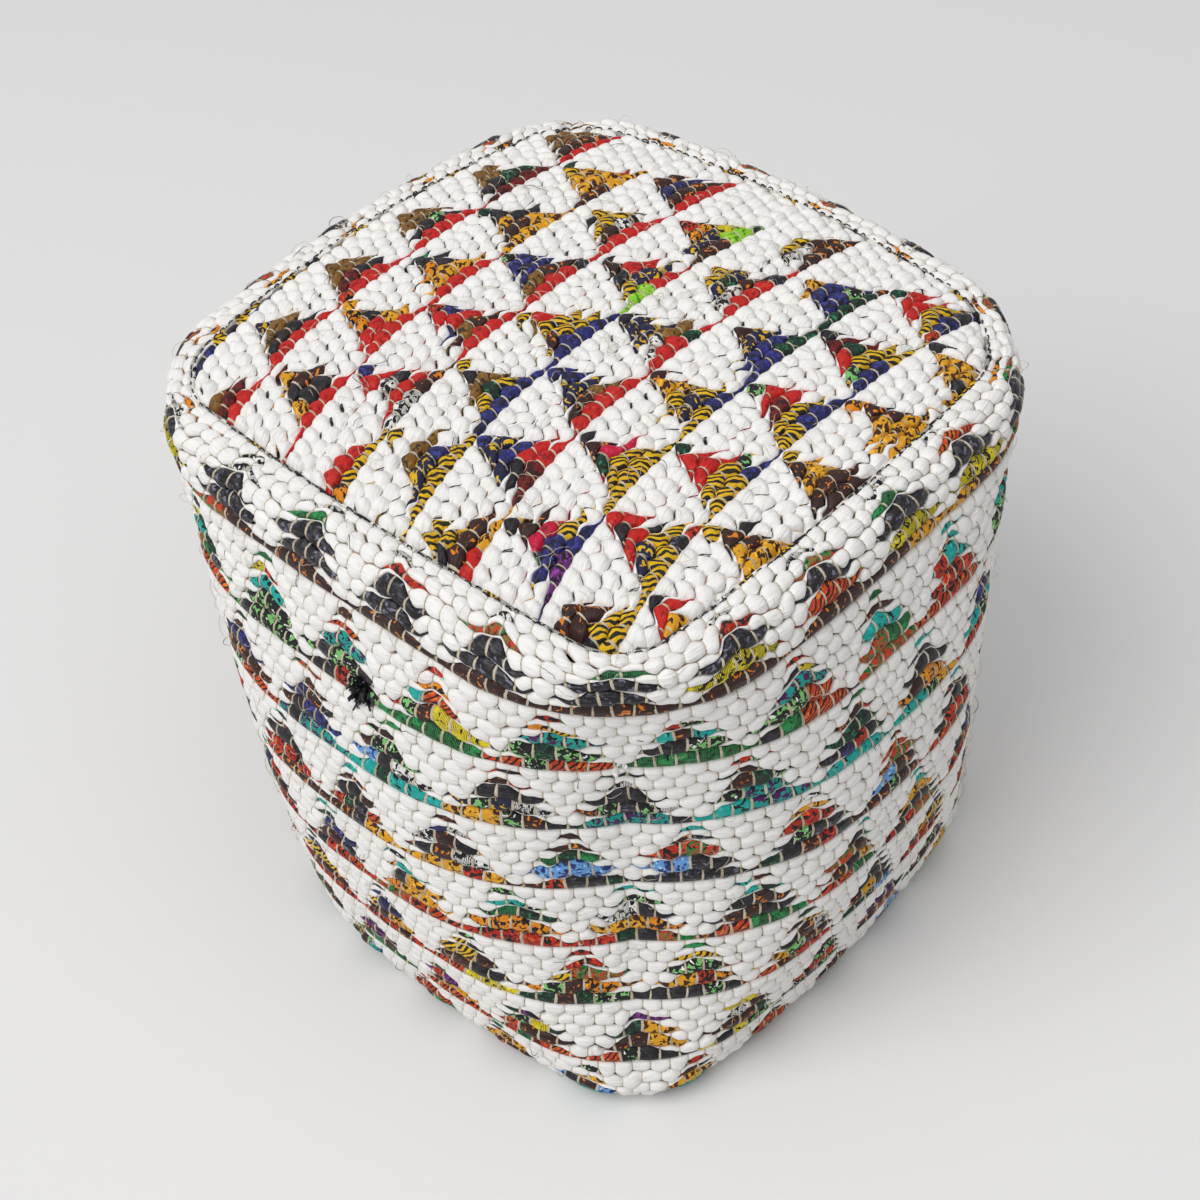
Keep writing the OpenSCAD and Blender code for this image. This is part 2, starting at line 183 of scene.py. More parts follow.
def outline(hx, hy, radii, share):
    """Points and outward directions of a rounded rectangle, at shares of the way round it.

    The way starts in the middle of the front corner. The radii are those of the four corners.
    """
    near, right, back, left = radii
    q = math.pi / 4
    runs = [
        ("arc", (hx - near, -hy + near), near, -q, 0),
        ("line", (hx, -hy + near), (hx, hy - right)),
        ("arc", (hx - right, hy - right), right, 0, 2 * q),
        ("line", (hx - right, hy), (-hx + back, hy)),
        ("arc", (-hx + back, hy - back), back, 2 * q, 4 * q),
        ("line", (-hx, hy - back), (-hx, -hy + left)),
        ("arc", (-hx + left, -hy + left), left, 4 * q, 6 * q),
        ("line", (-hx + left, -hy), (hx - near, -hy)),
        ("arc", (hx - near, -hy + near), near, 6 * q, 7 * q),
    ]
    lengths = [abs(r[4] - r[3]) * r[2] if r[0] == "arc" else math.dist(r[1], r[2]) for r in runs]
    ends = np.r_[0, np.cumsum(lengths)]
    s = (share % 1.0) * ends[-1]
    which = np.clip(np.searchsorted(ends, s, side="right") - 1, 0, len(runs) - 1)
    point = np.zeros((len(s), 2))
    facing = np.zeros((len(s), 2))
    for k, (kind, start, *rest) in enumerate(runs):
        m = which == k
        w = (s[m] - ends[k]) / lengths[k]
        if kind == "arc":
            radius, first, last = rest
            a = first + (last - first) * w
            facing[m] = np.c_[np.cos(a), np.sin(a)]
            point[m] = np.array(start) + radius * facing[m]
        else:
            along = (np.array(rest[0]) - np.array(start)) / lengths[k]
            point[m] = np.array(start) + along * (w * lengths[k])[:, None]
            facing[m] = (along[1], -along[0])
    return point, facing


def ring(o, z, t, share):
    """A ring of the body at o from the rim line and at height z, shaped as the cover is at t."""
    hx, hy = HALF_X + o, HALF_Y + o
    radii = np.maximum(LEAST_RADIUS, corner_radii(t) + o - out(t))
    p, facing = outline(hx, hy, radii, share)
    m = 1 - np.minimum(1, np.minimum(abs(p[:, 0]) / hx, abs(p[:, 1]) / hy)) ** 2
    p = p + facing * (bow(t) * m)[:, None]
    return np.c_[p, z - sag(t) * (1 - m)]


def on_sheet(along, across):
    """Coordinates on a flat sheet, for the materials."""
    return np.stack([along, across, 0 * along], axis=-1)


def unit(v):
    """Vectors made one long."""
    return v / np.maximum(np.linalg.norm(v, axis=-1, keepdims=True), 1e-9)


class Side:
    """The side's outer face as a map from (share round, depth down from the seam, height) to a point."""

    def __init__(self):
        rim, face, foot = np.linspace(0, 1, 25), np.linspace(1, 2, 61), np.linspace(2, 3, 25)
        share = np.linspace(-0.5, 0.5, ROUND)
        rings = [ring(out(0), up(0) - MAP_TURN, 0, share)]
        rings += [ring(out(t), up(t), t, share) for t in np.r_[rim, face[1:], foot[1:]]]
        rings += [ring(out(3), MAP_TURN, 3, share)]
        self.grid = np.array(rings)
        column = self.grid[:, int(MEASURED * ROUND)]
        steps = np.linalg.norm(np.diff(column, axis=0), axis=1)
        self.depth = np.r_[0, np.cumsum(steps)] - MAP_TURN
        down = np.gradient(self.grid, axis=0)
        across = np.gradient(self.grid, axis=1)
        self.normal = unit(np.cross(across, -down))

    def sample(self, field, share, depth):
        """The value of a field over the map's grid."""
        rows, columns = field.shape[:2]
        a = np.interp(depth, self.depth, np.arange(rows))
        b = np.clip((share + 0.5) * (columns - 1), 0, columns - 1)
        i = np.minimum(a.astype(int), rows - 2)
        j = np.minimum(b.astype(int), columns - 2)
        u, v = (a - i)[..., None], (b - j)[..., None]
        top = field[i, j] * (1 - v) + field[i, j + 1] * v
        low = field[i + 1, j] * (1 - v) + field[i + 1, j + 1] * v
        return top * (1 - u) + low * u

    def place(self, share, depth, height):
        """Points at a height off the face, kept just clear of the floor."""
        p = self.sample(self.grid, share, depth)
        p = p + unit(self.sample(self.normal, share, depth)) * height[..., None]
        off_floor = 0.2 * MM
        p[..., 2] = np.maximum(p[..., 2], off_floor)
        return p


class Top:
    """The top panel's upper face as a map from (x, y, height) to a point."""

    def __init__(self):
        share = np.linspace(0, 1, ROUND)[:-1]
        p = ring(PANEL_OUT, 0, 0, share)
        angle = np.arctan2(p[:, 1], p[:, 0])
        order = np.argsort(angle)
        self.angle = np.r_[angle[order] - 2 * math.pi, angle[order], angle[order] + 2 * math.pi]
        self.radius = np.tile(np.hypot(p[:, 0], p[:, 1])[order], 3)
        self.drop = np.tile(p[:, 2][order], 3)

    def reach(self, x, y):
        """Radius of the panel's edge in the direction of x, y, and how far the edge sags there."""
        a = np.arctan2(y, x)
        return np.interp(a, self.angle, self.radius), np.interp(a, self.angle, self.drop)

    def height(self, x, y):
        """Height of the crowned face, which turns down into the groove at its edge."""
        edge, drop = self.reach(x, y)
        r = np.hypot(x, y)
        s = np.minimum(r / edge, 1)
        z = SEAM_HEIGHT + GROOVE + CROWN * (1 - s**CROWN_POWER) + drop * s**SAG_POWER
        turn, fall, power, most = 7 * MM, 3.4 * MM, 2.2, 2.4
        w = np.clip(1 - (edge - r) / turn, 0, most)
        return z - fall * w**power

    def place(self, x, y, height):
        """Points at a height off the face, drawn in to the panel's edge where they lie past it."""
        e = 1.5 * MM
        z = self.height(x, y)
        nx = -(self.height(x + e, y) - z) / e
        ny = -(self.height(x, y + e) - z) / e
        n = unit(np.stack([nx, ny, np.ones_like(nx)], axis=-1))
        edge, _ = self.reach(x, y)
        r = np.hypot(x, y)
        beyond, upright = 0.4 * MM, 4 * MM
        shrink = np.minimum(1, (edge + beyond) / np.maximum(r, 1e-6))
        p = np.stack([x * shrink, y * shrink, z], axis=-1)
        n[..., :2] *= np.clip((edge - r) / upright, 0, 1)[..., None]
        return p + n * height[..., None]


def ease(w):
    """0 to 1 along a smooth curve as w runs from 0 to 1."""
    w = np.clip(w, 0, 1)
    return w * w * (3 - 2 * w)


def smooth_noise(x, y, seed):
    """Smooth noise between -1 and 1 with features about one unit long.

    Callers add a number to x or y to read another stretch of it.
    """
    rng = np.random.default_rng(seed)
    size = 256
    table = rng.uniform(-1, 1, (size, size))
    i, j = np.floor(x).astype(int), np.floor(y).astype(int)
    u, v = ease(x - i), ease(y - j)
    a = table[i % size, j % size] * (1 - u) + table[(i + 1) % size, j % size] * u
    b = table[i % size, (j + 1) % size] * (1 - u) + table[(i + 1) % size, (j + 1) % size] * u
    return a * (1 - v) + b * v


def new_mesh(name, points, faces, smooth=True, uv=None, on_faces=None, on_points=None):
    """A mesh object from arrays, with its bake map and its attributes."""
    mesh = bpy.data.meshes.new(name)
    faces = np.asarray(faces, np.int32)
    sides = faces.shape[1]
    mesh.vertices.add(len(points))
    mesh.vertices.foreach_set("co", np.asarray(points, np.float32).ravel())
    mesh.loops.add(faces.size)
    mesh.loops.foreach_set("vertex_index", faces.ravel())
    mesh.polygons.add(len(faces))
    mesh.polygons.foreach_set("loop_start", np.arange(len(faces), dtype=np.int32) * sides)
    mesh.polygons.foreach_set("use_smooth", np.full(len(faces), smooth))
    mesh.update(calc_edges=True)
    if uv is not None:
        layer = mesh.uv_layers.new(name="OFBake")
        layer.data.foreach_set("uv", np.asarray(uv, np.float32).ravel())
    for domain, given in (("FACE", on_faces), ("POINT", on_points)):
        for key, value in (given or {}).items():
            value = np.asarray(value, np.float32)
            kind = "FLOAT" if value.ndim == 1 else "FLOAT_VECTOR"
            field = "value" if value.ndim == 1 else "vector"
            mesh.attributes.new(key, kind, domain).data.foreach_set(field, value.ravel())
    obj = bpy.data.objects.new(name, mesh)
    bpy.context.scene.collection.objects.link(obj)
    return obj


# Each fabric: its short name in the weaving plans, its ground colour, print colour and second
# print colour, the shares of the cloth covered by blots, stripes, fine hatching and
# second-colour blots, and its roughness. Colours are sRGB.
FABRICS = {
    "white": ("ww", "f0eeeb", "f0eeeb", "f0eeeb", (0, 0, 0, 0), 0.9),
    # The coal rag's print and second print colours are lilac greys that stand for the sheen on its satin
    # folds: painted highlight
    "coal": ("co", "121118", "6f6d82", "33313e", (0.13, 0, 0, 0.25), 0.28),
    "umber": ("um", "2c1412", "dd7d18", "93380e", (0.12, 0, 0, 0.06), 0.5),
    "leafgreen": ("lg", "2b8a4b", "0b0e0b", "1a5c36", (0.1, 0, 0.6, 0.3), 0.7),
    "greenred": ("gr", "1f7a3c", "c93a22", "120f0d", (0.3, 0, 0.3, 0.35), 0.7),
    "tiger": ("ti", "dfb112", "15120d", "c8960c", (0, 0.5, 0, 0.2), 0.6),
    "spot": ("sp", "dc8413", "17110d", "eaa51c", (0.45, 0, 0, 0.2), 0.6),
    "red": ("re", "bd1f1c", "8f1314", "cf342b", (0.2, 0, 0, 0.2), 0.65),
    "ember": ("em", "c42c1c", "150d0e", "e0691f", (0.38, 0, 0.2, 0.2), 0.65),
    "maroon": ("ma", "671617", "2d0b0d", "8a1f1b", (0.4, 0, 0, 0.15), 0.65),
    "crimson": ("cr", "be173a", "8f0e2b", "d2335a", (0.2, 0, 0, 0.2), 0.65),
    "navy": ("na", "1e2260", "0d0e27", "383b90", (0.4, 0, 0, 0.3), 0.5),
    "navygold": ("ng", "14183a", "dcae14", "0f1229", (0.24, 0, 0, 0.2), 0.6),
    "ochre": ("oc", "765019", "2c1c0e", "8f6826", (0.25, 0, 0, 0.25), 0.4),
    "teal": ("te", "179f98", "10191c", "36b8ae", (0.22, 0, 0, 0.2), 0.7),
    "purple": ("pu", "62256b", "160d1d", "8a3f92", (0.4, 0, 0, 0.25), 0.7),
    "tealplum": ("tp", "17998f", "4c1a58", "171016", (0.36, 0, 0, 0.3), 0.7),
    "leaf": ("le", "111116", "79bd6b", "eceee8", (0.28, 0, 0, 0.12), 0.65),
    "bottle": ("bo", "123226", "0b1713", "2a7a52", (0.3, 0, 0, 0.2), 0.65),
    "blaze": ("bl", "cb3f1a", "1b0d0a", "e07a1f", (0, 0.4, 0.1, 0.25), 0.65),
    "sky": ("sk", "6398d4", "1c2f66", "a5cdee", (0.35, 0, 0, 0.2), 0.7),
    "lime": ("li", "8ac82e", "4d8a1d", "b4dc50", (0.25, 0, 0, 0.2), 0.7),
    "yellow": ("ye", "dcc722", "14150f", "efe058", (0.2, 0, 0.2, 0.2), 0.7),
    "hatch": ("ha", "dccb1c", "15150f", "c9ba18", (0.3, 0, 0.45, 0.2), 0.7),
    "newsprint": ("np", "e6e4e0", "121216", "8a8a90", (0.45, 0, 0.4, 0.1), 0.75),
    "gold": ("go", "d8991c", "3a1a0b", "efb838", (0.4, 0, 0, 0.2), 0.6),
    "dashes": ("da", "e4dfd3", "17161a", "a98a4a", (0, 0, 0.6, 0.06), 0.8),
    "black": ("bk", "111016", "2b2833", "0c0b10", (0.3, 0, 0, 0.2), 0.5),
}
FABRIC_NAMES = list(FABRICS)
SHORT_NAMES = [row[0] for row in FABRICS.values()]


def fabric_numbers(names):
    """Places in FABRICS of the fabrics named."""
    return np.array([FABRIC_NAMES.index(name) for name in names])


def colour(code):
    """Linear RGBA of an sRGB hex code."""
    parts = [int(code[k : k + 2], 16) / 255 for k in (0, 2, 4)]
    return tuple(c / 12.92 if c <= 0.04045 else ((c + 0.055) / 1.055) ** 2.4 for c in parts) + (1.0,)


class Nodes:
    """Shorthand for building a material's nodes."""

    def __init__(self, name):
        self.material = bpy.data.materials.new(name)
        self.material.use_nodes = True
        self.tree = self.material.node_tree
        self.shader = self.tree.nodes["Principled BSDF"]

    def add(self, kind, inputs=(), **settings):
        node = self.tree.nodes.new(kind)
        for key, value in settings.items():
            setattr(node, key, value)
        for key, value in dict(inputs).items():
            self.put(node.inputs[key], value)
        return node

    def put(self, socket, value):
        """Links a socket to another, or sets it to a value or to the colour of a code."""
        if isinstance(value, bpy.types.NodeSocket):
            self.tree.links.new(value, socket)
        elif isinstance(value, str):
            socket.default_value = colour(value)
        else:
            socket.default_value = value

    def maths(self, operation, a, b):
        return self.add("ShaderNodeMath", {0: a, 1: b}, operation=operation).outputs[0]

    def vector(self, operation, a, b):
        return self.add("ShaderNodeVectorMath", {0: a, 1: b}, operation=operation).outputs[0]

    def read(self, name, output="Vector"):
        return self.add("ShaderNodeAttribute", attribute_name=name).outputs[output]

    def noise(self, at, scale, detail=2.0, distortion=0.0):
        inputs = {"Vector": at, "Scale": scale, "Detail": detail, "Distortion": distortion}
        return self.add("ShaderNodeTexNoise", inputs).outputs["Fac"]

    def wave(self, at, scale, distortion, way, finer=1.0):
        inputs = {"Vector": at, "Scale": scale, "Distortion": distortion}
        inputs.update({"Detail": 1.0, "Detail Scale": finer})
        return self.add("ShaderNodeTexWave", inputs, bands_direction=way).outputs["Fac"]

    def step(self, value, low, high):
        """0 below low, 1 above high."""
        inputs = {"Value": value, "From Min": low, "From Max": high}
        return self.add("ShaderNodeMapRange", inputs, interpolation_type="SMOOTHSTEP").outputs["Result"]

    def above(self, value, limit, soft):
        """1 where value is over limit."""
        return self.step(value, limit, self.maths("ADD", limit, soft))

    def mix(self, factor, a, b, kind="MIX"):
        node = self.add("ShaderNodeMix", data_type="RGBA", blend_type=kind)
        self.put(node.inputs[0], factor)
        self.put(node.inputs[6], a)
        self.put(node.inputs[7], b)
        return node.outputs[2]

    def steps(self, at, colours):
        """One constant colour for each equal step of at."""
        ramp = self.add("ShaderNodeValToRGB", {"Fac": at})
        table = ramp.color_ramp
        table.interpolation = "CONSTANT"
        for k, value in enumerate(colours):
            stop = table.elements[0] if k == 0 else table.elements.new(k / RAMP_STEPS)
            stop.color = value
        table.elements.remove(table.elements[-1])
        return ramp.outputs["Color"]

    def bump(self, height, strength, distance, before=None):
        inputs = {"Height": height, "Strength": strength, "Distance": distance}
        if before:
            inputs["Normal"] = before
        return self.add("ShaderNodeBump", inputs).outputs["Normal"]

    def finish(self, **inputs):
        for key, value in inputs.items():
            self.put(self.shader.inputs[key.replace("_", " ")], value)
        return self.material


def noise_limit(share):
    """The noise value that this share of a noise field lies above. Nothing lies above 1."""
    shares = [0, 0.02, 0.1, 0.2, 0.3, 0.5, 0.7]
    return float(np.interp(share, shares, [1, 0.75, 0.66, 0.6, 0.56, 0.5, 0.44]))


def wave_limit(share):
    """The same for a sine wave."""
    return (1 + math.cos(math.pi * share)) / 2


def rag_prints(n, at):
    """The cloth's colour at a place, and its roughness: its ground, and the prints of its fabric."""
    fabric = n.maths("DIVIDE", n.maths("ADD", n.read("fabric", "Fac"), 0.5), RAMP_STEPS)
    rows = FABRICS.values()
    ground, ink, second = (n.steps(fabric, [colour(row[k]) for row in rows]) for k in (1, 2, 3))
    limits = [
        (noise_limit(blots), wave_limit(stripes), 1 - hatching, 1)
        for blots, stripes, hatching, _ in (row[4] for row in rows)
    ]
    limit = n.add("ShaderNodeSeparateColor", {"Color": n.steps(fabric, limits)}).outputs
    more = [(noise_limit(row[4][3]), row[5], 0, 1) for row in rows]
    rest = n.add("ShaderNodeSeparateColor", {"Color": n.steps(fabric, more)}).outputs

    blot = n.above(n.noise(at, 320.0, detail=1.0, distortion=0.6), limit[0], 0.012)
    elsewhere = n.vector("ADD", at, (3.1, 1.7, 0.4))
    spot = n.above(n.noise(elsewhere, 430.0, detail=1.0, distortion=0.3), rest[0], 0.02)
    stripe = n.above(n.wave(at, 145.0, 7.0, "DIAGONAL", finer=0.9), limit[1], 0.06)
    lines = n.wave(at, 400.0, 6.0, "X", finer=0.6)
    marks = n.maths("MULTIPLY", lines, n.step(n.noise(at, 130.0, detail=0.0), 0.36, 0.46))
    hatch = n.above(marks, limit[2], 0.06)
    hue = n.mix(spot, ground, second)
    for mark in (blot, stripe, hatch):
        hue = n.mix(mark, hue, ink)
    return hue, rest[1]


def rag_material():
    """Woven rag strips: plain, blotted, striped or hatched cloth, chosen by the face's fabric number, with
    dust and painted shade in the hollows between pebbles and painted shade along the creases.
    """
    n = Nodes("rag")
    weave = n.read("weave")
    offset = n.read("offset")
    hue, rough = rag_prints(n, n.vector("ADD", weave, offset))

    long_folds = n.vector("ADD", n.vector("MULTIPLY", weave, (150.0, 1050.0, 1.0)), offset)
    folds = n.noise(long_folds, 1.0, detail=2.0, distortion=0.5)
    long_creases = n.vector("ADD", n.vector("MULTIPLY", weave, (55.0, 360.0, 1.0)), offset)
    creases = n.noise(long_creases, 1.0, detail=1.0, distortion=1.0)
    fine = n.noise(weave, 2600.0, detail=1.0)
    # Painted shade, partly dust and warp-thread colour: the hollows between pebbles are darkened toward a
    # beige brown, where occlusion shade falls
    crevice_dust_and_shade = n.maths("SUBTRACT", 1.0, n.step(n.read("crest", "Fac"), 0.0, 0.5))
    dust_and_painted_shade = n.mix(1.0, hue, "b39c7d", "MULTIPLY")
    hue = n.mix(n.maths("MULTIPLY", crevice_dust_and_shade, 0.85), hue, dust_and_painted_shade)
    # Painted shade: the colour darkens a little toward grey brown along the bumped creases
    crease_shade = n.maths("SUBTRACT", 1.0, n.step(creases, 0.25, 0.6))
    hue = n.mix(n.maths("MULTIPLY", crease_shade, 0.1), hue, "6a6054")
    normal = n.bump(creases, 0.6, 1.6 * MM)
    normal = n.bump(folds, 0.6, 0.5 * MM, normal)
    normal = n.bump(fine, 0.3, 0.12 * MM, normal)
    return n.finish(Base_Color=hue, Roughness=rough, Specular_IOR_Level=0.28, Normal=normal)


def yarn_material(name, tint, dark):
    """Twisted cotton thread: diagonal plies along its run."""
    n = Nodes(name)
    weave = n.read("weave")
    twist = n.wave(weave, 1400.0, 1.5, "DIAGONAL")
    patch = n.noise(weave, 60.0)
    hue = n.mix(n.maths("MULTIPLY", twist, 0.3), tint, dark)
    hue = n.mix(n.step(patch, 0.35, 0.8), hue, dark)
    normal = n.bump(twist, 0.5, 0.15 * MM)
    return n.finish(Base_Color=hue, Roughness=0.85, Specular_IOR_Level=0.3, Normal=normal)


class Weave:
    """A woven face: its courses of pebbles, their rags and sizes, and the map to the body.

    p runs along a course and counts its pebbles. eta runs across a course from -1 to 1.
    """

    def __init__(self, first, pitch, span, place, cloth, look):
        self.first = first
        self.pitch = pitch
        self.span = span
        self.place = place
        self.cloth = cloth
        self.look = look
        # Half a pebble has its points at these shares, closer toward its ends
        cuts = np.array([0, 0.14, 0.36, 0.64, 0.86]) / 2
        halves = np.arange(span[0] * 2, span[1] * 2) / 2
        self.p = np.r_[(halves[:, None] + cuts[None]).ravel(), span[1]]

    def phase(self, course):
        """The pebbles of every other row stand half a pebble on."""
        return self.cloth.row(course) % 2 / 2

    def local(self, course, p):
        """Pebble number and the place in it, from -1 to 1."""
        at = p - self.phase(course)
        number = np.floor(at + 1e-9).astype(int)
        return number, 2 * (at - number) - 1

    def sizes(self, course, p):
        """Relative size of the course at p, blended from pebble to pebble."""
        at = p - self.phase(course) - 0.5
        j = np.floor(at).astype(int)
        w = ease(at - j)
        return self.cloth.size(course, j) * (1 - w) + self.cloth.size(course, j + 1) * w

    def dyed(self, course, p):
        """1 on coloured rag, 0 on white."""
        number, _ = self.local(course, p)
        return (self.cloth.fabric(course, number) > 0).astype(float)

    def fullness(self, course, p):
        """The course's share of its band: a pebble is widest in its middle, a coloured one less so."""
        _, xi = self.local(course, p)
        swell = self.look["swell"] * (1 - 0.3 * self.dyed(course, p))
        return self.sizes(course, p) * (1 + swell * np.cos(math.pi * xi))

    def line(self, course, p):
        """Place of a course's far edge. The courses of a band share out the band's height."""
        band, slot = divmod(course, COURSES)
        full = [self.fullness(band * COURSES + k, p) for k in range(COURSES)]
        at = ROWS * (band + sum(full[: slot + 1]) / sum(full))
        wobble = self.look["wobble"] * smooth_noise(p / 2.3 + 40, at / 0.6 + 40, SEED)
        return self.first + self.pitch * (at - 0.5 + wobble)

    def shift(self, course, p):
        """How far the pebbles of a row stray along it."""
        return 0.2 * smooth_noise(p / 1.7 + 7, np.full_like(p, self.cloth.row(course) * 2.3), SEED + 5)

    def strip(self, course, p, eta):
        """Place across the weave, height over it and share of a pebble's crest, at p and eta."""
        k = self.look
        low, high = self.line(course - 1, p), self.line(course, p)
        tuck = np.clip((high - low) * 0.1, 0, 0.15 * MM)
        low, high = low - tuck, high + tuck
        _, xi = self.local(course, p)
        across = low + (high - low) * (eta + 1) / 2
        pinch = k["pinch"] * (1 - 0.7 * self.dyed(course, p))
        fall = np.minimum(abs(eta), 1) ** k["arch"] + pinch * abs(xi) ** k["round"]
        crest = np.maximum(0, 1 - fall) ** 0.5
        full = 0.3 + 0.7 * np.minimum(self.sizes(course, p), 1.35)
        rough = smooth_noise(p * 1.7 + 60, across / (4 * MM) + 60, SEED + 3)
        return across, -k["sink"] + k["rise"] * crest * full + 0.25 * MM * rough, crest

    def piece(self, name, courses, fold):
        """One mesh of the padded pebbles of some courses. Its bake map is cut into fold strips."""
        steps = 7
        eta = -np.cos(np.pi * np.arange(steps + 1) / steps)
        p = np.tile(self.p, (steps + 1, 1))
        count = len(self.p)
        middle = (self.p[:-1] + self.p[1:]) / 2
        made = {key: [] for key in ("points", "faces", "fabric", "offset", "weave", "crest", "uv")}
        for k, course in enumerate(courses):
            across, height, crest = self.strip(course, p, eta[:, None])
            world, along, inner = self.place(p + self.shift(course, p), across, height)
            number, _ = self.local(course, middle)
            # Each pebble shows another place of its rag's print
            jumps = np.random.default_rng(SEED + 100 + course).uniform(-8, 8, (600, 3))
            j, i = np.nonzero(self.kept(world, inner))
            a = j * count + i
            cells = np.stack([a, a + count, a + count + 1, a + 1], axis=1)
            made["faces"].append(cells + k * (steps + 1) * count)
            made["fabric"].append(self.cloth.fabric(course, number[i]))
            made["offset"].append(jumps[number[i] % len(jumps)])
            made["uv"].append(self.unfold(cells, count, k, len(courses), fold, eta))
            made["points"].append(world.reshape(-1, 3))
            made["weave"].append(on_sheet(along, across).reshape(-1, 3))
            # The crest share drops in the hollows between pebbles, where the rag material paints dust and
            # shade
            made["crest"].append((1 - self.look["dust_and_painted_shade"] * (1 - crest)).ravel())
        whole = {key: np.concatenate(value) for key, value in made.items()}
        used, faces = np.unique(whole["faces"], return_inverse=True)
        return new_mesh(
            name,
            whole["points"][used],
            faces.reshape(-1, 4),
            uv=whole["uv"],
            on_faces={key: whole[key] for key in ("fabric", "offset")},
            on_points={key: whole[key][used] for key in ("weave", "crest")},
        )

    def kept(self, world, inner):
        """Which cells of a strip are kept: those inside the cloth's edge that aren't squeezed to nothing."""
        a, b = world[:-1, :-1], world[1:, 1:]
        c, d = world[1:, :-1], world[:-1, 1:]
        area = np.linalg.norm(np.cross(b - a, c - d), axis=-1) / 2
        least, edge = 0.01 * MM * MM, self.look["edge"]
        return (area > least) & ((inner[:-1, :-1] > edge) | (inner[1:, 1:] > edge))

    def unfold(self, cells, count, k, courses, fold, eta):
        """Bake map corners of cells: the strip's length is cut into equal parts, stacked with margins."""
        j, i = cells // count, cells % count
        per = math.ceil((count - 1) / fold)
        part = np.minimum(i[:, :1] // per, fold - 1)
        u = 0.004 + 0.992 * (i - part * per) / per
        v = (part + 0.02 + 0.96 * (k + 0.04 + 0.92 * (eta[j] + 1) / 2) / courses) / fold
        return np.stack([u, v], axis=-1)

    def threads(self, name, courses, width, lift):
        """The warp threads that cross each course between two pebbles.

        lift is their height over the course, for white cloth and for coloured.
        """
        eta = np.array([-1.12, -0.86, -0.5, 0, 0.5, 0.86, 1.12])
        m = len(eta)
        past_edge = np.where(abs(eta) > 1, np.sign(eta), 0)[None]
        past, dip, flank = 0.4 * MM, 0.9 * MM, 0.42 * MM
        least_inner, least_length = 0.6 * MM, 2.2 * MM
        numbers = np.arange(self.span[0] + 1, self.span[1])
        ribbons, runs = [], []
        for course in courses:
            rng = np.random.default_rng(SEED + 900 + course)
            centre = numbers + self.phase(course)
            n = len(centre)
            slant, curl = rng.uniform(-0.07, 0.07, (n, 1)), rng.uniform(-0.05, 0.05, (n, 1))
            wide = width * rng.uniform(0.8, 1.15, (n, 1, 1))
            line = centre[:, None] + self.shift(course, centre)[:, None] + slant * eta + curl * eta**2
            at = np.tile(centre[:, None], (1, m))
            across, height, _ = self.strip(course, at, np.clip(eta, -1, 1)[None])
            across = across + past_edge * past
            rags = self.cloth.fabric(course, numbers), self.cloth.fabric(course, numbers - 1)
            plain = (rags[0] == 0) & (rags[1] == 0)
            raised = np.where(plain, *lift)[:, None] - dip * abs(past_edge)
            p = line[..., None] + wide / 2 * np.array([-1, 0, 1])
            a = np.repeat(across[..., None], 3, axis=2)
            h = (height + raised)[..., None] - np.array([flank, 0, flank])
            world, along, inner = self.place(p, a, h)
            length = across[:, -2] - across[:, 1]
            good = (inner[:, m // 2, 1] > least_inner) & (length > least_length)
            ribbons.append(world[good])
            runs.append(on_sheet(along, a)[good])
        return ribbon_mesh(name, np.concatenate(ribbons), np.concatenate(runs))


def ribbon_mesh(name, ribbons, runs=None, on_faces=None):
    """Many small ribbons, each a grid of points, as one mesh with its own square of the bake map for each."""
    n, m, w = ribbons.shape[:3]
    e, s = np.meshgrid(np.arange(m - 1), np.arange(w - 1), indexing="ij")
    a = (e * w + s).ravel()
    cell = np.stack([a, a + 1, a + w + 1, a + w], axis=1)
    faces = (cell[None] + (np.arange(n) * m * w)[:, None, None]).reshape(-1, 4)
    side_count = math.ceil(math.sqrt(n))
    number = np.repeat(np.arange(n), len(cell))[:, None]
    inner = faces % (m * w)
    u = (number % side_count + 0.06 + 0.88 * (inner % w) / (w - 1)) / side_count
    v = (number // side_count + 0.06 + 0.88 * (inner // w) / (m - 1)) / side_count
    weave = ribbons if runs is None else runs
    return new_mesh(
        name,
        ribbons.reshape(-1, 3),
        faces,
        uv=np.stack([u, v], axis=-1),
        on_faces=on_faces,
        on_points={"weave": weave.reshape(-1, 3), "crest": np.ones(weave[..., 0].size)},
    )


def tubes(name, paths, radius, upward, sides=6, on_faces=None):
    """Round strands along paths, an array of (strand, point, 3). radius has one value for each point."""
    tangent = unit(np.gradient(paths, axis=1))
    across = unit(np.cross(tangent, upward))
    above = np.cross(across, tangent)
    turn = np.linspace(0, 2 * math.pi, sides + 1)[:, None]
    spoke = across[:, :, None] * np.cos(turn) + above[:, :, None] * np.sin(turn)
    wide = np.broadcast_to(radius, paths.shape[:2])[..., None, None]
    grid = paths[:, :, None] + wide * spoke
    step = np.linalg.norm(np.diff(paths, axis=1), axis=-1)
    run = np.concatenate([np.zeros((len(paths), 1)), np.cumsum(step, axis=1)], axis=1)
    run = np.repeat(run[..., None], sides + 1, axis=2)
    round_ = turn[:, 0] * wide[..., 0]
    return ribbon_mesh(name, grid, on_sheet(run, round_), on_faces)


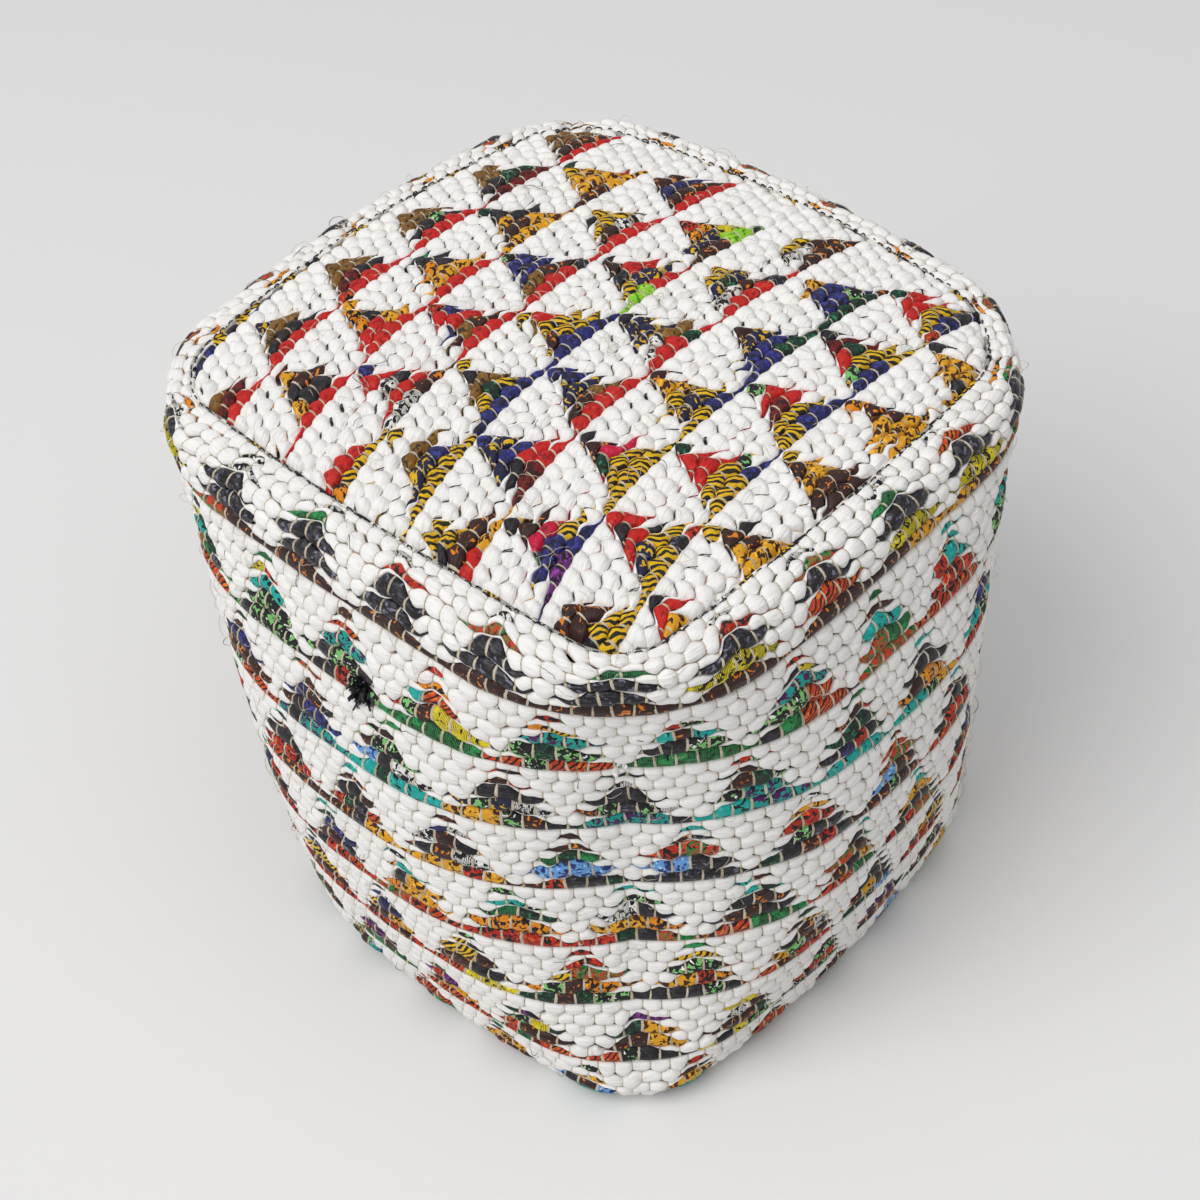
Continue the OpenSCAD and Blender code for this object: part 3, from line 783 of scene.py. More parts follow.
def slab(name, lower, upper, weave):
    """A closed sheet of cloth from the grids of points of its lower and upper faces.

    Each face takes half of the bake map, and the sheet's edge a thin strip between the halves.
    """
    rows, columns = lower.shape[:2]
    n = rows * columns
    grid = np.arange(n).reshape(rows, columns)
    cells = np.stack([grid[:-1, :-1], grid[:-1, 1:], grid[1:, 1:], grid[1:, :-1]], axis=-1).reshape(-1, 4)
    rim = np.r_[grid[0], grid[1:, -1], grid[-1, -2::-1], grid[-2:0:-1, 0]]
    after = np.roll(rim, -1)
    faces = np.concatenate([cells + n, cells[:, ::-1], np.stack([after, after + n, rim + n, rim], axis=-1)])
    points = np.concatenate([lower.reshape(-1, 3), upper.reshape(-1, 3)])
    a, b, c, d = (points[faces[:, k]] for k in range(4))
    if np.sum((a + c) / 4 * np.cross(c - a, d - b)) < 0:
        faces = faces[:, ::-1]
    i, j = np.divmod(faces % n, columns)
    u = 0.01 + 0.47 * j / (columns - 1) + 0.5 * (faces >= n)
    v = 0.01 + 0.98 * i / (rows - 1)
    edge = len(faces) - len(rim)
    step = np.arange(len(rim))[:, None] / len(rim)
    u[edge:] = np.where(faces[edge:] >= n, 0.497, 0.483)
    v[edge:] = 0.01 + 0.98 * (step + (faces[edge:] % n == after[:, None]) / len(rim))
    flat = np.tile(weave.reshape(-1, 3), (2, 1))
    return new_mesh(name, points, faces, uv=np.stack([u, v], axis=-1), on_points={"weave": flat})


# The weaving plan of the sides. Each band has up to five rows of patches, from its base row up,
# and each row names the rag in its patches from left to right past the front corner. Two names
# with a stroke between them are two rags that meet in the middle of a patch. "ww" leaves it white.
SIDE_PLAN = {
    1: ("gr/um um um um um um um um/go go/um",
        "co co co co co ha bl ha ha",
        "co co co co co co co co co",
        "np lg em gr lg em gr lg bl",
        "np np np np ww np np np np"),
    2: ("le bk/le lg bl lg lg/bl gr bl",
        "le le/bk le/ye le bk/le le/bl gr/lg em",
        "te tp te/bl tp te tp te te",
        "ye/em bl sp sp/ti em bk/ye um go/te",
        "lg lg em lg ww em lg te"),
    3: ("bl tp te go/te tp te/tp te te/go bl",
        "um um/na sk/np ng/np le/np le/tp na/em sp te",
        "na na/bk le bk bk um/bo bo bk na",
        "um um np um np um um/go co um",
        "em gr lg bl bo em lg te em"),
    4: ("bl/um um/go go um/bk co bk um bl",
        "em em/bl um/np sk sk/co co sk/um em",
        "bk bk/um np/go lg em/gr em gr bk",
        "um um na/np um um go bl um",
        "te te um um te np um te"),
    5: ("em em gr/bl em em/gr bl/lg bl/lg em/gr em",
        "um um sp/go sp go/sp um/bk um/go bk um",
        "na na bk/go lg/bo np/bk bk/um gr/um go na",
        "bo bo go/te te/le le te go/lg te bo",
        "te te te te te te te te te"),
    6: ("em em/um bl/ye bo/le bk/le bl/em bo/sk em",
        "um um/go um/bk sp go/sp go/um go/bk um",
        "ti ti/na ti/um ti/gr le um/np bk ti",
        "na na/np ti em ti ti um na",
        "bk bk np em lg um bk bk"),
    7: ("lg lg bl lg/bl bl/bk ye/le le um/bl lg",
        "um um um/go bl/um um/go um/bo em um um",
        "le pu pu le/ye bo/go np/um le pu le",
        "lg lg lg pu pu ye bk lg lg"),
    8: ("le um bl um um bl um le",
        "te lg um te te um lg te",
        "sk bl go sk go bl um sk",
        "go um bk go um bk um go",
        "um em lg um em um lg um"),
}
# The rag of the topmost row of band 1 on the far sides, where it shows over the rim
FAR_SPOT = "sp"
# The weaving plan of the top. Each band has up to five rows of patches, from its base row toward
# the left, and each row names the rag in its patches from the far edge to the near one.
TOP_PLAN = {
    7: ("um go um go go go", "go go um go go go", "go um/go go um/go go go",
        "go bk/um go/um bk/um re re", "bk sp ti/bk ti bk bk"),
    6: ("na ti/na na/ti na/ti ti ti", "ti ti ti ti ti/ng ti/bk", "re ma/re re/ma re bk/re um/bk",
        "re ma re re re/bk um", "bo bk bo bo/re re ww"),
    5: ("bo bo/na na/ti ti na/pu na", "na na ti/ng ti ti/na ti", "na ng go/ti cr cr cr",
        "go go/um go um/go um um", "ww ww um bk/go go/bk go"),
    4: ("um re re re re/ma go/re", "um/np um/np oc/np oc/um re/bk um", "ti ng ng ng na/ng ti",
        "ww ti ng na/ng ng ti", "ww ww bk na na ww"),
    3: ("li/um re/li na na ti ti", "ye/ng ng/ti ti ti na/ng na", "sp re/um ti oc oc oc",
        "bk/ng oc/um re/oc bk/oc ww ww", "ww bk/go ti ti ti ww"),
    2: ("re re re re um/np ti/sp", "um np/um um/oc um/oc re re", "na ti na re/na re/np ww",
        "um ti/bk na na/re re ww", "ww ww na/re na na ww"),
    1: ("go/um go re re re re", "go go/um go go/re bk/go go", "go bk/go bk/sp bk/sp um/bk um",
        "ti bk bk sp um/go um", "bo bo bo go ma ww"),
    0: ("re ma re re re re", "um bo/bk bk bk/ma bk ma", "oc oc oc oc oc oc",
        "oc oc oc oc ng ww"),
    -1: ("ti ti ti ti/na ti/na na", "na ti ti na na na"),
}
# Each row of a patch from its base up: its fullness in the middle on the rim, the sides and the top
RIM_FULL = (0.95, 1.1, 1.0, 0.55, 0.4)
SIDE_FULL = (1.0, 1.05, 0.9, 0.44, 0.38)
TOP_FULL = (0.85, 0.95, 0.88, 0.8, 0.7)
# How each row ends: pebbles that it reaches to either side, the share of its fullness left there,
# how blunt it is, where the white course over it starts and how full that stays in the middle
SIDE_ENDS = (
    (3.05, 0.2, 3, 0.35, 0),
    (2.5, 0, 2.5, 0.3, 0),
    (1.85, 0, 3, 0.3, 0.08),
    (1.2, 0, 3, 0.25, 0.3),
    (0.85, 0, 2, 0.25, 0.3),
)
TOP_ENDS = (
    (2.75, 0.05, 3, 0.6, 0),
    (2.1, 0, 3, 0.6, 0),
    (1.5, 0, 3, 0.6, 0),
    (0.85, 0, 4, 0.6, 0),
    (0.5, 0, 4, 0.6, 0),
)
# Rags that stray into the patches of others, and how often they do on the sides and the top
STRAY = ("co", "bk", "um", "bo", "em", "le")
SIDE_STRAYS = 0.12
TOP_STRAYS = 0.05
# Each row's reach and fullness are times a number in this range
RAGGED = (0.85, 1.18)
# The patches of a band stand twice this many pebbles apart, and none reaches further to a side
HALF_STEP = 3
# A course's pebbles are numbered from minus this number up to it
NUMBERS = 90
# How a weave looks: how much a pebble swells, how flat it is across its course, how deep and how
# blunt its ends are, how far it sinks and rises over the cover's face, how much its courses wobble,
# how far inside the cloth's edge it ends, and how far dust and painted shade darken the hollows between its
# pebbles
SIDE_LOOK = dict(
    swell=0.12, arch=2.5, pinch=0.62, round=3.9, sink=2.7 * MM, rise=3.6 * MM,
    wobble=0.09, edge=0, dust_and_painted_shade=0.93,
)
TOP_LOOK = dict(
    swell=0.24, arch=2.3, pinch=0.85, round=2.6, sink=3.0 * MM, rise=4.2 * MM,
    wobble=0.08, edge=-9 * MM, dust_and_painted_shade=0.6,
)


class Cloth:
    """The rag and the relative size of every pebble in a weave. A row is a white and a coloured course."""

    def __init__(self, seed, spread, white):
        """spread gives the range of sizes in a course, and white the place of white in a row: 0 or 1."""
        self.rng = np.random.default_rng(seed)
        self.spread = spread
        self.white = white
        self.rag = {}
        self.full = {}

    def row(self, course):
        return course // 2

    def blank(self, course):
        """Starts a white course full and a coloured one empty."""
        if course not in self.rag:
            rng = np.random.default_rng([SEED, 7, course + 50])
            low, high = self.spread(course)
            self.rag[course] = np.zeros(2 * NUMBERS, int)
            self.full[course] = rng.uniform(low, high, 2 * NUMBERS) * (course % 2 == self.white)

    def fabric(self, course, number):
        self.blank(course)
        return self.rag[course][np.clip(number + NUMBERS, 0, 2 * NUMBERS - 1)]

    def size(self, course, number):
        self.blank(course)
        return self.full[course][np.clip(number + NUMBERS, 0, 2 * NUMBERS - 1)]

    def patch(self, row, centre, names, full, ends, strays):
        """Weaves one row of a patch round centre. It thins toward its ends, as the white closes over it."""
        if names == "ww":
            return
        plain = 2 * row + self.white
        course = 2 * row + 1 - self.white
        self.blank(plain)
        self.blank(course)
        parts = names.split("/")
        reach, left, blunt, start, over = ends
        reach = reach * self.rng.uniform(*RAGGED)
        lean = self.rng.uniform(-0.3, 0.3)
        full = full * self.rng.uniform(*RAGGED)
        for number in range(int(centre) - 5, int(centre) + 5):
            at = number + 0.5 + row % 2 / 2 - centre
            if abs(at) > HALF_STEP:
                continue
            i = number + NUMBERS
            name = parts[0] if at < self.rng.uniform(-0.4, 0.4) else parts[-1]
            if self.rng.random() < strays:
                name = STRAY[self.rng.integers(len(STRAY))]
            self.rag[course][i] = SHORT_NAMES.index(name)
            off = abs(at - lean)
            taper = 1 - (1 - left) * min(off / reach, 1) ** blunt
            self.full[course][i] = full * taper * self.rng.uniform(0.85, 1.12)
            closed = ease((off - start * reach) / ((0.95 - start) * reach + 0.2))
            self.full[plain][i] *= over + (1 - over) * closed


def side_cloth():
    """The sides' weaving plan laid round the whole body. The far sides take up the same rags again."""
    rim_courses, near_sides = 5, 9
    cloth = Cloth(SEED + 21, lambda course: (0.85, 1.3) if course < rim_courses else (0.84, 1.2), 0)
    for band, plan in SIDE_PLAN.items():
        first = -8 if band % 2 else -7
        full, strays = (SIDE_FULL, SIDE_STRAYS) if band > 1 else (RIM_FULL, 0)
        for k, names in enumerate(plan):
            names = names.split()
            for u in range(first - 16, 24, 2):
                at = (u - first) // 2
                name = names[at if 0 <= at < len(names) else (at * 3 + k) % len(names)]
                if band == 1 and k == ROWS - 1 and abs(u) > near_sides:
                    name = FAR_SPOT
                cloth.patch(ROWS * band - 1 - k, HALF_STEP * u, name, full[k], SIDE_ENDS[k], strays)
    return cloth


def top_cloth():
    """The top's weaving plan laid over the panel."""
    cloth = Cloth(SEED + 22, lambda course: (0.86, 1.18), 1)
    for band, plan in TOP_PLAN.items():
        first = 0 if band % 2 else -1
        row = ROWS * (max(TOP_PLAN) - band)
        for k, names in enumerate(plan):
            for i, name in enumerate(names.split()):
                centre = -HALF_STEP * (first + 2 * i - 4)
                turned = "/".join(reversed(name.split("/")))
                cloth.patch(row + k, centre, turned, TOP_FULL[k], TOP_ENDS[k], TOP_STRAYS)
    return cloth


def side_place(p, depth, height):
    """Places a point of the side's weave. The cloth's two ends meet and turn in at the back corner."""
    d = depth / DRIFT_SCALE - DRIFT_DEPTH
    drift = DRIFT_START + DRIFT_SLOPE * d - DRIFT_CURVE * (d / DRIFT_DEPTH) ** 2
    share = p * SIDE_PEBBLE + drift
    inner = (SIDE_END - abs(share)) / SIDE_PEBBLE * SIDE_PEBBLE_WIDTH
    height = height - SIDE_SINK * np.clip(1 - inner / SIDE_TURN, 0, 1) ** 2
    along = share / SIDE_PEBBLE * SIDE_PEBBLE_WIDTH
    return side.place(np.clip(share, -SIDE_END, SIDE_END), depth, height), along, inner


def top_place(p, across, height):
    """Places a point of the top's weave, with the slant and curve of its courses."""
    x = TOP_LAST - across
    y = TOP_MIDDLE + p * TOP_PEBBLE
    ratio = y / TOP_HALF
    near = np.clip(-ratio - TOP_NEAR_FROM, 0, 1)
    wx = x - TOP_SLANT * y + TOP_CURVE * ratio**2 + TOP_NEAR_CURVE * near**2
    wy = y + TOP_SKEW * x
    edge, _ = top.reach(wx, wy)
    inner = edge - np.hypot(wx, wy)
    low = 0.35 * np.clip(3 * MM - inner, 0, 6 * MM)
    height = height * np.clip(1 + inner / (4 * MM), 0, 1) - low
    return top.place(wx, wy, height), y, inner


side = Side()
top = Top()


def own(obj, material, replaces=()):
    """Gives a piece its material, the body it rides on and the CAD nodes it stands for."""
    obj.data.materials.append(material)
    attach(obj, "pouf")
    if replaces:
        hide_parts(*replaces)


def woven_cover(rag, yarn):
    """The side band's eight bands, the top panel in four parts, and their warp threads."""
    weave = Weave(SIDE_FIRST, SIDE_PITCH, (-68, 68), side_place, side_cloth(), SIDE_LOOK)
    for k in range(8):
        courses = range(COURSES * k, COURSES * k + COURSES)
        band = weave.piece(f"side_weave_{k + 1}", courses, 4)
        own(band, rag, replaces=("side_band",))
        warp = weave.threads(f"side_warp_{k + 1}", courses, 0.14, (0.6 * MM, 0.65 * MM))
        own(warp, yarn)
    weave = Weave(0, TOP_PITCH, (-18, 20), top_place, top_cloth(), TOP_LOOK)
    for k, courses in enumerate((range(-6, 20), range(20, 40), range(40, 60), range(60, 88))):
        part = weave.piece(f"top_weave_{k + 1}", courses, 3)
        own(part, rag, replaces=("top_panel",))
        warp = weave.threads(f"top_warp_{k + 1}", courses, 0.11, (0.1 * MM, 0.7 * MM))
        own(warp, yarn)


def seam_strand(rag):
    """The strip of printed rag that lies in the groove between the rim and the top panel."""
    count, bits, sides = 2400, 130, 6
    length_round = 1.36
    share = np.linspace(0, 1, count + 1)
    run = share * length_round
    path = ring(PANEL_OUT + SEAM_GAP / 2, SEAM_HEIGHT - 1.2 * MM, 0, share)
    path[:, 2] += 0.35 * MM * smooth_noise(run / 0.006, 0 * run, SEED + 31)
    lumps = smooth_noise(run / 0.009, 0 * run + 5, SEED + 32)
    radius = 1.25 * MM + 0.45 * MM * np.maximum(lumps, -0.3)
    rng = np.random.default_rng(SEED + 33)
    prints = ["dashes", "dashes", "dashes", "newsprint", "white", "dashes", "black", "tiger"]
    cell = np.repeat(np.arange(count), sides)
    fabric = fabric_numbers(rng.choice(prints, bits))[cell * bits // count]
    on_faces = {"fabric": fabric, "offset": np.repeat(fabric[:, None], 3, axis=1) * 0.37}
    strand = tubes("top_seam_strand", path[None], radius, (0, 0, 1), sides, on_faces)
    own(strand, rag, replaces=("top_seam_thread",))


def seam_stitches(dark):
    """The running stitches of dark thread along the groove."""
    rng = np.random.default_rng(SEED + 34)
    n = 200
    share = (np.arange(n) + rng.uniform(-0.15, 0.15, n)) / n
    half = rng.uniform(0.0008, 0.0019, n)
    s = np.linspace(-1, 1, 9)
    at = share[:, None] + half[:, None] * s
    o = PANEL_OUT + SEAM_GAP / 2 + rng.uniform(0.2, 1.6, n) * MM
    z = SEAM_HEIGHT + 0.9 * MM * (1 - s**4) - 0.6 * MM * abs(s) ** 6
    paths = [
        [ring(o[i], z[k], 0, at[i, k : k + 1])[0] for k in range(len(s))] for i in range(n)
    ]
    stitches = tubes("top_seam_stitches", np.array(paths), 0.4 * MM, (0, 0, 1))
    own(stitches, dark)


def upright_stitches(yarn):
    """The zigzag lacing that closes the upright seam at the back corner."""
    count = 39
    step = np.linspace(0, count, count * 8 + 1)
    depth = SIDE_FIRST + (step + 0.4) * SIDE_PITCH
    sway = np.sin(step * math.pi)
    away = 3.6 * MM * sway / (SIDE_PEBBLE_WIDTH / SIDE_PEBBLE)
    share = np.where(away >= 0, -0.5 + away, 0.5 + away)
    height = -1.2 * MM + 1.6 * MM * (1 - abs(sway) ** 4)
    path = side.place(share, depth, height)
    lacing = tubes("upright_seam_lacing", path[None], 0.6 * MM, (-0.7, 0.7, 0))
    own(lacing, yarn, replaces=("side_seam_thread",))


def foot_stitches(yarn):
    """The stitches that hold the edge of the base canvas to the cover's foot."""
    n = 190
    slant, reach = 0.0016, 4 * MM
    s = np.linspace(-1, 1, 7)
    at = np.arange(n)[:, None] / n + slant * s
    o = out(3) - SEAM_GAP / 2 + reach * s
    z = 0.5 * MM + 0.7 * MM * abs(s) ** 4
    paths = np.stack([ring(o[k], z[k], 3, at[:, k]) for k in range(len(s))], axis=1)
    stitches = tubes("foot_stitches", paths, 0.4 * MM, (0, 0, 1))
    own(stitches, yarn, replaces=("base_seam_thread",))


def hill(x, y):
    """0 to 1, the rise of the recess in the base round the zip."""
    away = np.maximum(np.maximum(abs(x) - RECESS_END, abs(y) - RECESS_HALF), 0)
    w = np.clip(1 - away / RECESS_SLOPE, 0, 1)
    return 0.35 * ease(w) + 0.65 * w


def base_canvas(canvas):
    """The two halves of the base, cut away round the zip and raised over it."""
    edge = ring(out(3) - SEAM_GAP, 0, 3, np.linspace(0, 1, 2001))
    slot_step, middle_gap, edge_gap = 0.4 * MM, 0.15 * MM, 0.3 * MM
    low, thick, wavy = 0.45 * MM, 1.0 * MM, 0.25 * MM
    for name, sign in (("front", -1), ("back", 1)):
        half = edge[edge[:, 1] * sign >= 0]
        half = half[np.argsort(half[:, 0])]
        x = np.sin(np.linspace(-math.pi / 2, math.pi / 2, 91)) * (half[-1, 0] - edge_gap)
        x = np.sort(np.r_[x, -SLOT_END, SLOT_END, -SLOT_END - slot_step, SLOT_END + slot_step])
        inner = np.where(abs(x) <= SLOT_END + 0.1 * MM, SLOT_HALF, middle_gap) * sign
        outer = np.interp(x, half[:, 0], half[:, 1])
        w = np.linspace(0, 1, 41) ** 1.3
        y = inner + (outer - inner) * w[:, None]
        x = np.tile(x, (len(w), 1))
        rough = wavy * (1 + smooth_noise(x / 0.021 + 50, y / 0.017 + 50, SEED + 41))
        loose = np.clip(np.minimum(w[:, None], 1 - w[:, None]) * 8, 0, 1)
        z = low + RECESS * hill(x, y) + rough * loose
        lower = np.stack([x, y, z], axis=-1)
        sheet = slab(f"canvas_{name}", lower, lower + (0, 0, thick), lower * (1, 1, 0))
        own(sheet, canvas, replaces=(f"base_canvas_{name}",))


def zip_tapes(tape, thread):
    """The two woven tapes of the zip, each with its row of stitches through the canvas."""
    for name, sign in (("front", -1), ("back", 1)):
        x, w = np.meshgrid(np.linspace(-TAPE_END, TAPE_END, 181), np.linspace(0, 1, 9))
        y = sign * (TAPE_IN + TAPE_WIDTH * w)
        wave = x / 0.0035
        ripple = 0.12 * MM * np.sin(wave) * np.clip(w * 4 - 2, 0, 1)
        lower = np.stack([x, y, TAPE_LOW + 0.05 * MM * (1 + np.cos(wave))], axis=-1)
        upper = lower + np.stack([0 * x, 0 * x, 0.55 * MM + ripple], axis=-1)
        strip = slab(f"zip_tape_{name}_cloth", lower, upper, lower * (1, 1, 0))
        own(strip, tape, replaces=(f"zip_tape_{name}",))
        stitch_row(f"zip_stitches_{name}", sign * (TAPE_IN + TAPE_WIDTH / 2 + 0.5 * MM), name, thread)


def stitch_row(name, y, half, thread):
    """Lockstitches along the zip: a row on the tape and a row on the canvas below it."""
    rng = np.random.default_rng(SEED + 51)
    pitch, margin, loft, stray = 3.4 * MM, 3 * MM, 0.45 * MM, 0.15 * MM
    n = int((2 * TAPE_END - 2 * margin) / pitch)
    start = -TAPE_END + margin + pitch * np.arange(n)
    s = np.linspace(0, 1, 7)
    paths = []
    for face, way in ((TAPE_LOW + 0.85 * MM, 1), (RECESS - 0.25 * MM, -1)):
        x = start[:, None] + pitch * 1.02 * s
        z = face + way * loft * (1 - (2 * s - 1) ** 4) + 0 * x
        sway = rng.uniform(-1, 1, (n, 1)) * stray * (2 * s - 1)
        paths.append(np.stack([x, y + sway, z], axis=-1))
    row = tubes(name, np.concatenate(paths), 0.3 * MM, (0, 0, 1))
    own(row, thread, replaces=(f"zip_thread_{half}",))


def facing(t):
    """Outward normal of the cover's profile at t, as (out, up)."""
    if t <= 1:
        v = (
            RIM_DROP * math.sin(t * math.pi / 2) - 2 * RIM_SWELL * math.cos(t * math.pi),
            RIM_INSET * math.cos(t * math.pi / 2),
        )
    elif t <= 2:
        v = (RIM_FOOT - FOOT_ROUND, -1.5 * DRAW_IN * math.sqrt(t - 1))
    else:
        v = (math.cos((t - 2) * math.pi / 2), -math.sin((t - 2) * math.pi / 2))
    return np.array(v) / math.hypot(*v)


def shell_ring(t, inset, share):
    """A ring of the body at t, set in from the cover's face."""
    f = facing(t)
    return ring(out(t) - inset * f[0], up(t) - inset * f[1], t, share)


def dome_rings(drop, share, steps):
    """Rings of the top panel's face from its middle outward, lowered by drop."""
    edge = ring(PANEL_OUT, 0, 0, share)
    rings = []
    for s in steps:
        crown = GROOVE + CROWN * (1 - s**CROWN_POWER)
        rings.append(np.c_[edge[:, :2] * s, SEAM_HEIGHT + crown - drop + edge[:, 2] * s**SAG_POWER])
    return rings


def bag_rings(inset, share):
    """Rings of the bag inside the cover, down its side from the neck to the base."""
    neck_levels = (386, 383, 379, 375)
    rings = [ring(PANEL_OUT - inset, z * MM, 0, share) for z in neck_levels]
    shoulder, face, foot = np.linspace(0.85, 1, 3), np.linspace(1, 2, 41), np.linspace(2, 2.67, 7)
    return rings + [shell_ring(t, inset, share) for t in np.r_[shoulder, face[1:], foot[1:]]]


def liner_top(cloth, share, inset):
    """The round-cornered top of the bag, finely creased."""
    steps = np.r_[0.002, np.linspace(0.06, 0.9, 24)]
    upper = np.array(dome_rings(inset, share, steps))
    crease = smooth_noise(upper[..., 0] / 0.012 + 60, upper[..., 1] / 0.03 + 60, SEED + 61)
    upper[..., 2] -= 0.3 * MM * abs(crease)
    sheet = slab("liner_top_cloth", upper - (0, 0, LINER), upper, upper * (1, 1, 0))
    own(sheet, cloth, replaces=("liner_top",))


def liner_side(cloth, share, inset):
    """The bag's side, with upright folds."""
    length, height = 1.42, 0.4
    outer = np.array(bag_rings(inset, share))
    inner = np.array(bag_rings(inset + LINER, share))
    run = share * length + 0 * outer[..., 0]
    fold = 0.25 * MM * abs(smooth_noise(run / 0.014 + 3, outer[..., 2] / 0.05 + 3, SEED + 62))
    away = unit(outer * (1, 1, 0)) * fold[..., None]
    flat = on_sheet(run, outer[..., 2])
    sheet = slab("liner_side_cloth", inner - away, outer - away, flat)
    own(sheet, cloth, replaces=("liner_side",))


def liner_base(cloth, share):
    """The bag's base, which lies on the canvas and rises over the zip."""
    off_floor = 2 * MM
    edge = ring(out(3) - BAG_INSET, 0, 3, share)
    steps = np.r_[0.002, np.linspace(0.04, 1, 40)][:, None, None]
    flat = edge * (1, 1, 0) * steps
    rise = off_floor + BAG_RISE * hill(flat[..., 0] * 0.985, flat[..., 1] * 0.92)
    lower = flat + rise[..., None] * (0, 0, 1)
    sheet = slab("liner_base_cloth", lower, lower + (0, 0, LINER), flat)
    own(sheet, cloth, replaces=("liner_base",))


def liner_pieces(cloth):
    """The three pieces of the inner bag: its top, its side and its base."""
    share = np.linspace(0, 1, 241)
    liner_top(cloth, share, CLOTH + LINER_GAP)
    liner_side(cloth, share, CLOTH + LINER_GAP)
    liner_base(cloth, share)


def bead_mass(beads):
    """The bead filling as one full body, its skin dimpled by the beads that press on the bag."""
    share = np.linspace(0, 1, 421)[:-1]
    inset = CLOTH + LINER_GAP + LINER + 0.3 * MM
    rings = dome_rings(inset, share, np.linspace(0.03, 0.88, 30)) + bag_rings(inset, share)
    foot = ring(out(3) - BAG_INSET, 3.2 * MM, 3, share)
    for w in np.linspace(1, 0.03, 34):
        low = foot * (w, w, 1)
        low[:, 2] += BAG_RISE * hill(low[:, 0] * 0.98, low[:, 1] * 0.9)
        rings.append(low)
    grid = np.array(rings)
    rows, columns = grid.shape[:2]
    dimples = np.random.default_rng(SEED + 71).uniform(0, 0.7, (rows, columns, 1)) * MM
    grid = grid + unit(np.array([0, 0, 0.2]) - grid) * dimples
    points = np.concatenate([grid.reshape(-1, 3), [grid[0].mean(axis=0), grid[-1].mean(axis=0)]])
    a = np.arange(rows - 1)[:, None] * columns + np.arange(columns)
    b = np.arange(rows - 1)[:, None] * columns + (np.arange(columns) + 1) % columns
    body = np.stack([a, a + columns, b + columns, b], axis=-1).reshape(-1, 4)
    k = np.arange(0, columns, 2)
    after = (k + 2) % columns
    last, top_middle = (rows - 1) * columns, np.full(len(k), rows * columns)
    cap = np.stack([top_middle, k, k + 1, after], axis=-1)
    floor = np.stack([top_middle + 1, last + after, last + k + 1, last + k], axis=-1)
    mass = new_mesh("bead_mass", points, np.concatenate([body, cap, floor]), on_points={"weave": points})
    own(mass, beads, replaces=("bead_fill",))


def tuft(name, place, fabric, size, count, broad, rag):
    """A frayed end of rag that stands out of the weave at its share round the body and its depth."""
    rng = np.random.default_rng(SEED + 81 + count)
    at = np.array([place[0]]), np.array([place[1]])
    base = side.place(*at, np.array([-2.2 * MM]))[0]
    normal = unit(side.sample(side.normal, *at))[0]
    flat = unit(np.cross(normal, (0, 0, 1.0)))
    high = np.cross(flat, normal)
    turn, lean = rng.uniform(0, 2 * math.pi, count), rng.uniform(0.1, 1.25, count)
    spread = np.cos(turn)[:, None] * flat + np.sin(turn)[:, None] * high
    way = normal * np.cos(lean)[:, None] + spread * np.sin(lean)[:, None]
    m = 7
    s = np.linspace(0, 1, m)[:, None]
    length = size * rng.uniform(0.45, 1, (count, 1, 1))
    curl = unit(rng.normal(size=(count, 1, 3))) * rng.uniform(0.3, 0.9, (count, 1, 1)) * length
    root = base + spread * rng.uniform(0, size * 0.95, (count, 1))
    paths = root[:, None] + way[:, None] * length * s + curl * s**2 - np.array([0, 0, 0.3]) * length * s**2
    edge = unit(np.cross(way, rng.normal(size=(count, 3))))[:, None, None]
    wide = size * broad * (1 - 0.45 * s) * np.array([-1, 0, 1])
    ribbons = paths[:, :, None] + edge * wide[None, ..., None]
    kind = fabric_numbers(fabric)[rng.integers(len(fabric), size=count)]
    cells = 2 * (m - 1)
    offset = np.repeat(rng.uniform(-5, 5, (count, 3)), cells, axis=0)
    on_faces = {"fabric": np.repeat(kind, cells), "offset": offset}
    own(ribbon_mesh(name, ribbons, on_faces=on_faces), rag)


def loose_threads(yarn, dark):
    """Short fibres and thread ends that lie on the cover and the top."""
    rng = np.random.default_rng(SEED + 91)
    m = 12
    s = np.linspace(0, 1, m)
    side_way, top_way = (0.3, 0.2, 0.93), (0, 0, 1)
    top_half = 0.155
    for name, count, material, thick in (("pale", 640, yarn, 0.16 * MM), ("dark", 70, dark, 0.2 * MM)):
        turn = rng.uniform(0, 2 * math.pi, (count, 1)) + np.cumsum(rng.normal(0, 0.35, (count, m)), axis=1)
        length = rng.uniform(5, 22, (count, 1)) * MM
        u = np.cumsum(np.cos(turn), axis=1) / m * length
        v = np.cumsum(np.sin(turn), axis=1) / m * length
        share = rng.uniform(-0.5, 0.5, (count, 1)) + u * SIDE_PEBBLE / SIDE_PEBBLE_WIDTH
        depth = rng.uniform(6, 395, (count, 1)) * MM + v
        rise = rng.uniform(0.5, 4.6, (count, 1)) * MM * np.sin(s * math.pi) ** 0.7
        share = (share + 0.5) % 1.0 - 0.5
        whole = abs(np.diff(share, axis=1)).max(axis=1) < 0.1
        paths = side.place(share, depth, 0.2 * MM + rise)[whole]
        taper = thick * (1 - 0.7 * abs(2 * s - 1) ** 3)
        own(tubes(f"loose_fibres_{name}", paths, taper, side_way, 4), material)
        n = count // 3
        x = rng.uniform(-top_half, top_half, (n, 1)) + u[:n]
        y = rng.uniform(-top_half, top_half, (n, 1)) + v[:n]
        paths = top.place(x, y, 1.2 * MM + 1.6 * MM * np.sin(s * math.pi) + 0 * x)
        own(tubes(f"top_fibres_{name}", paths, taper, top_way, 4), material)


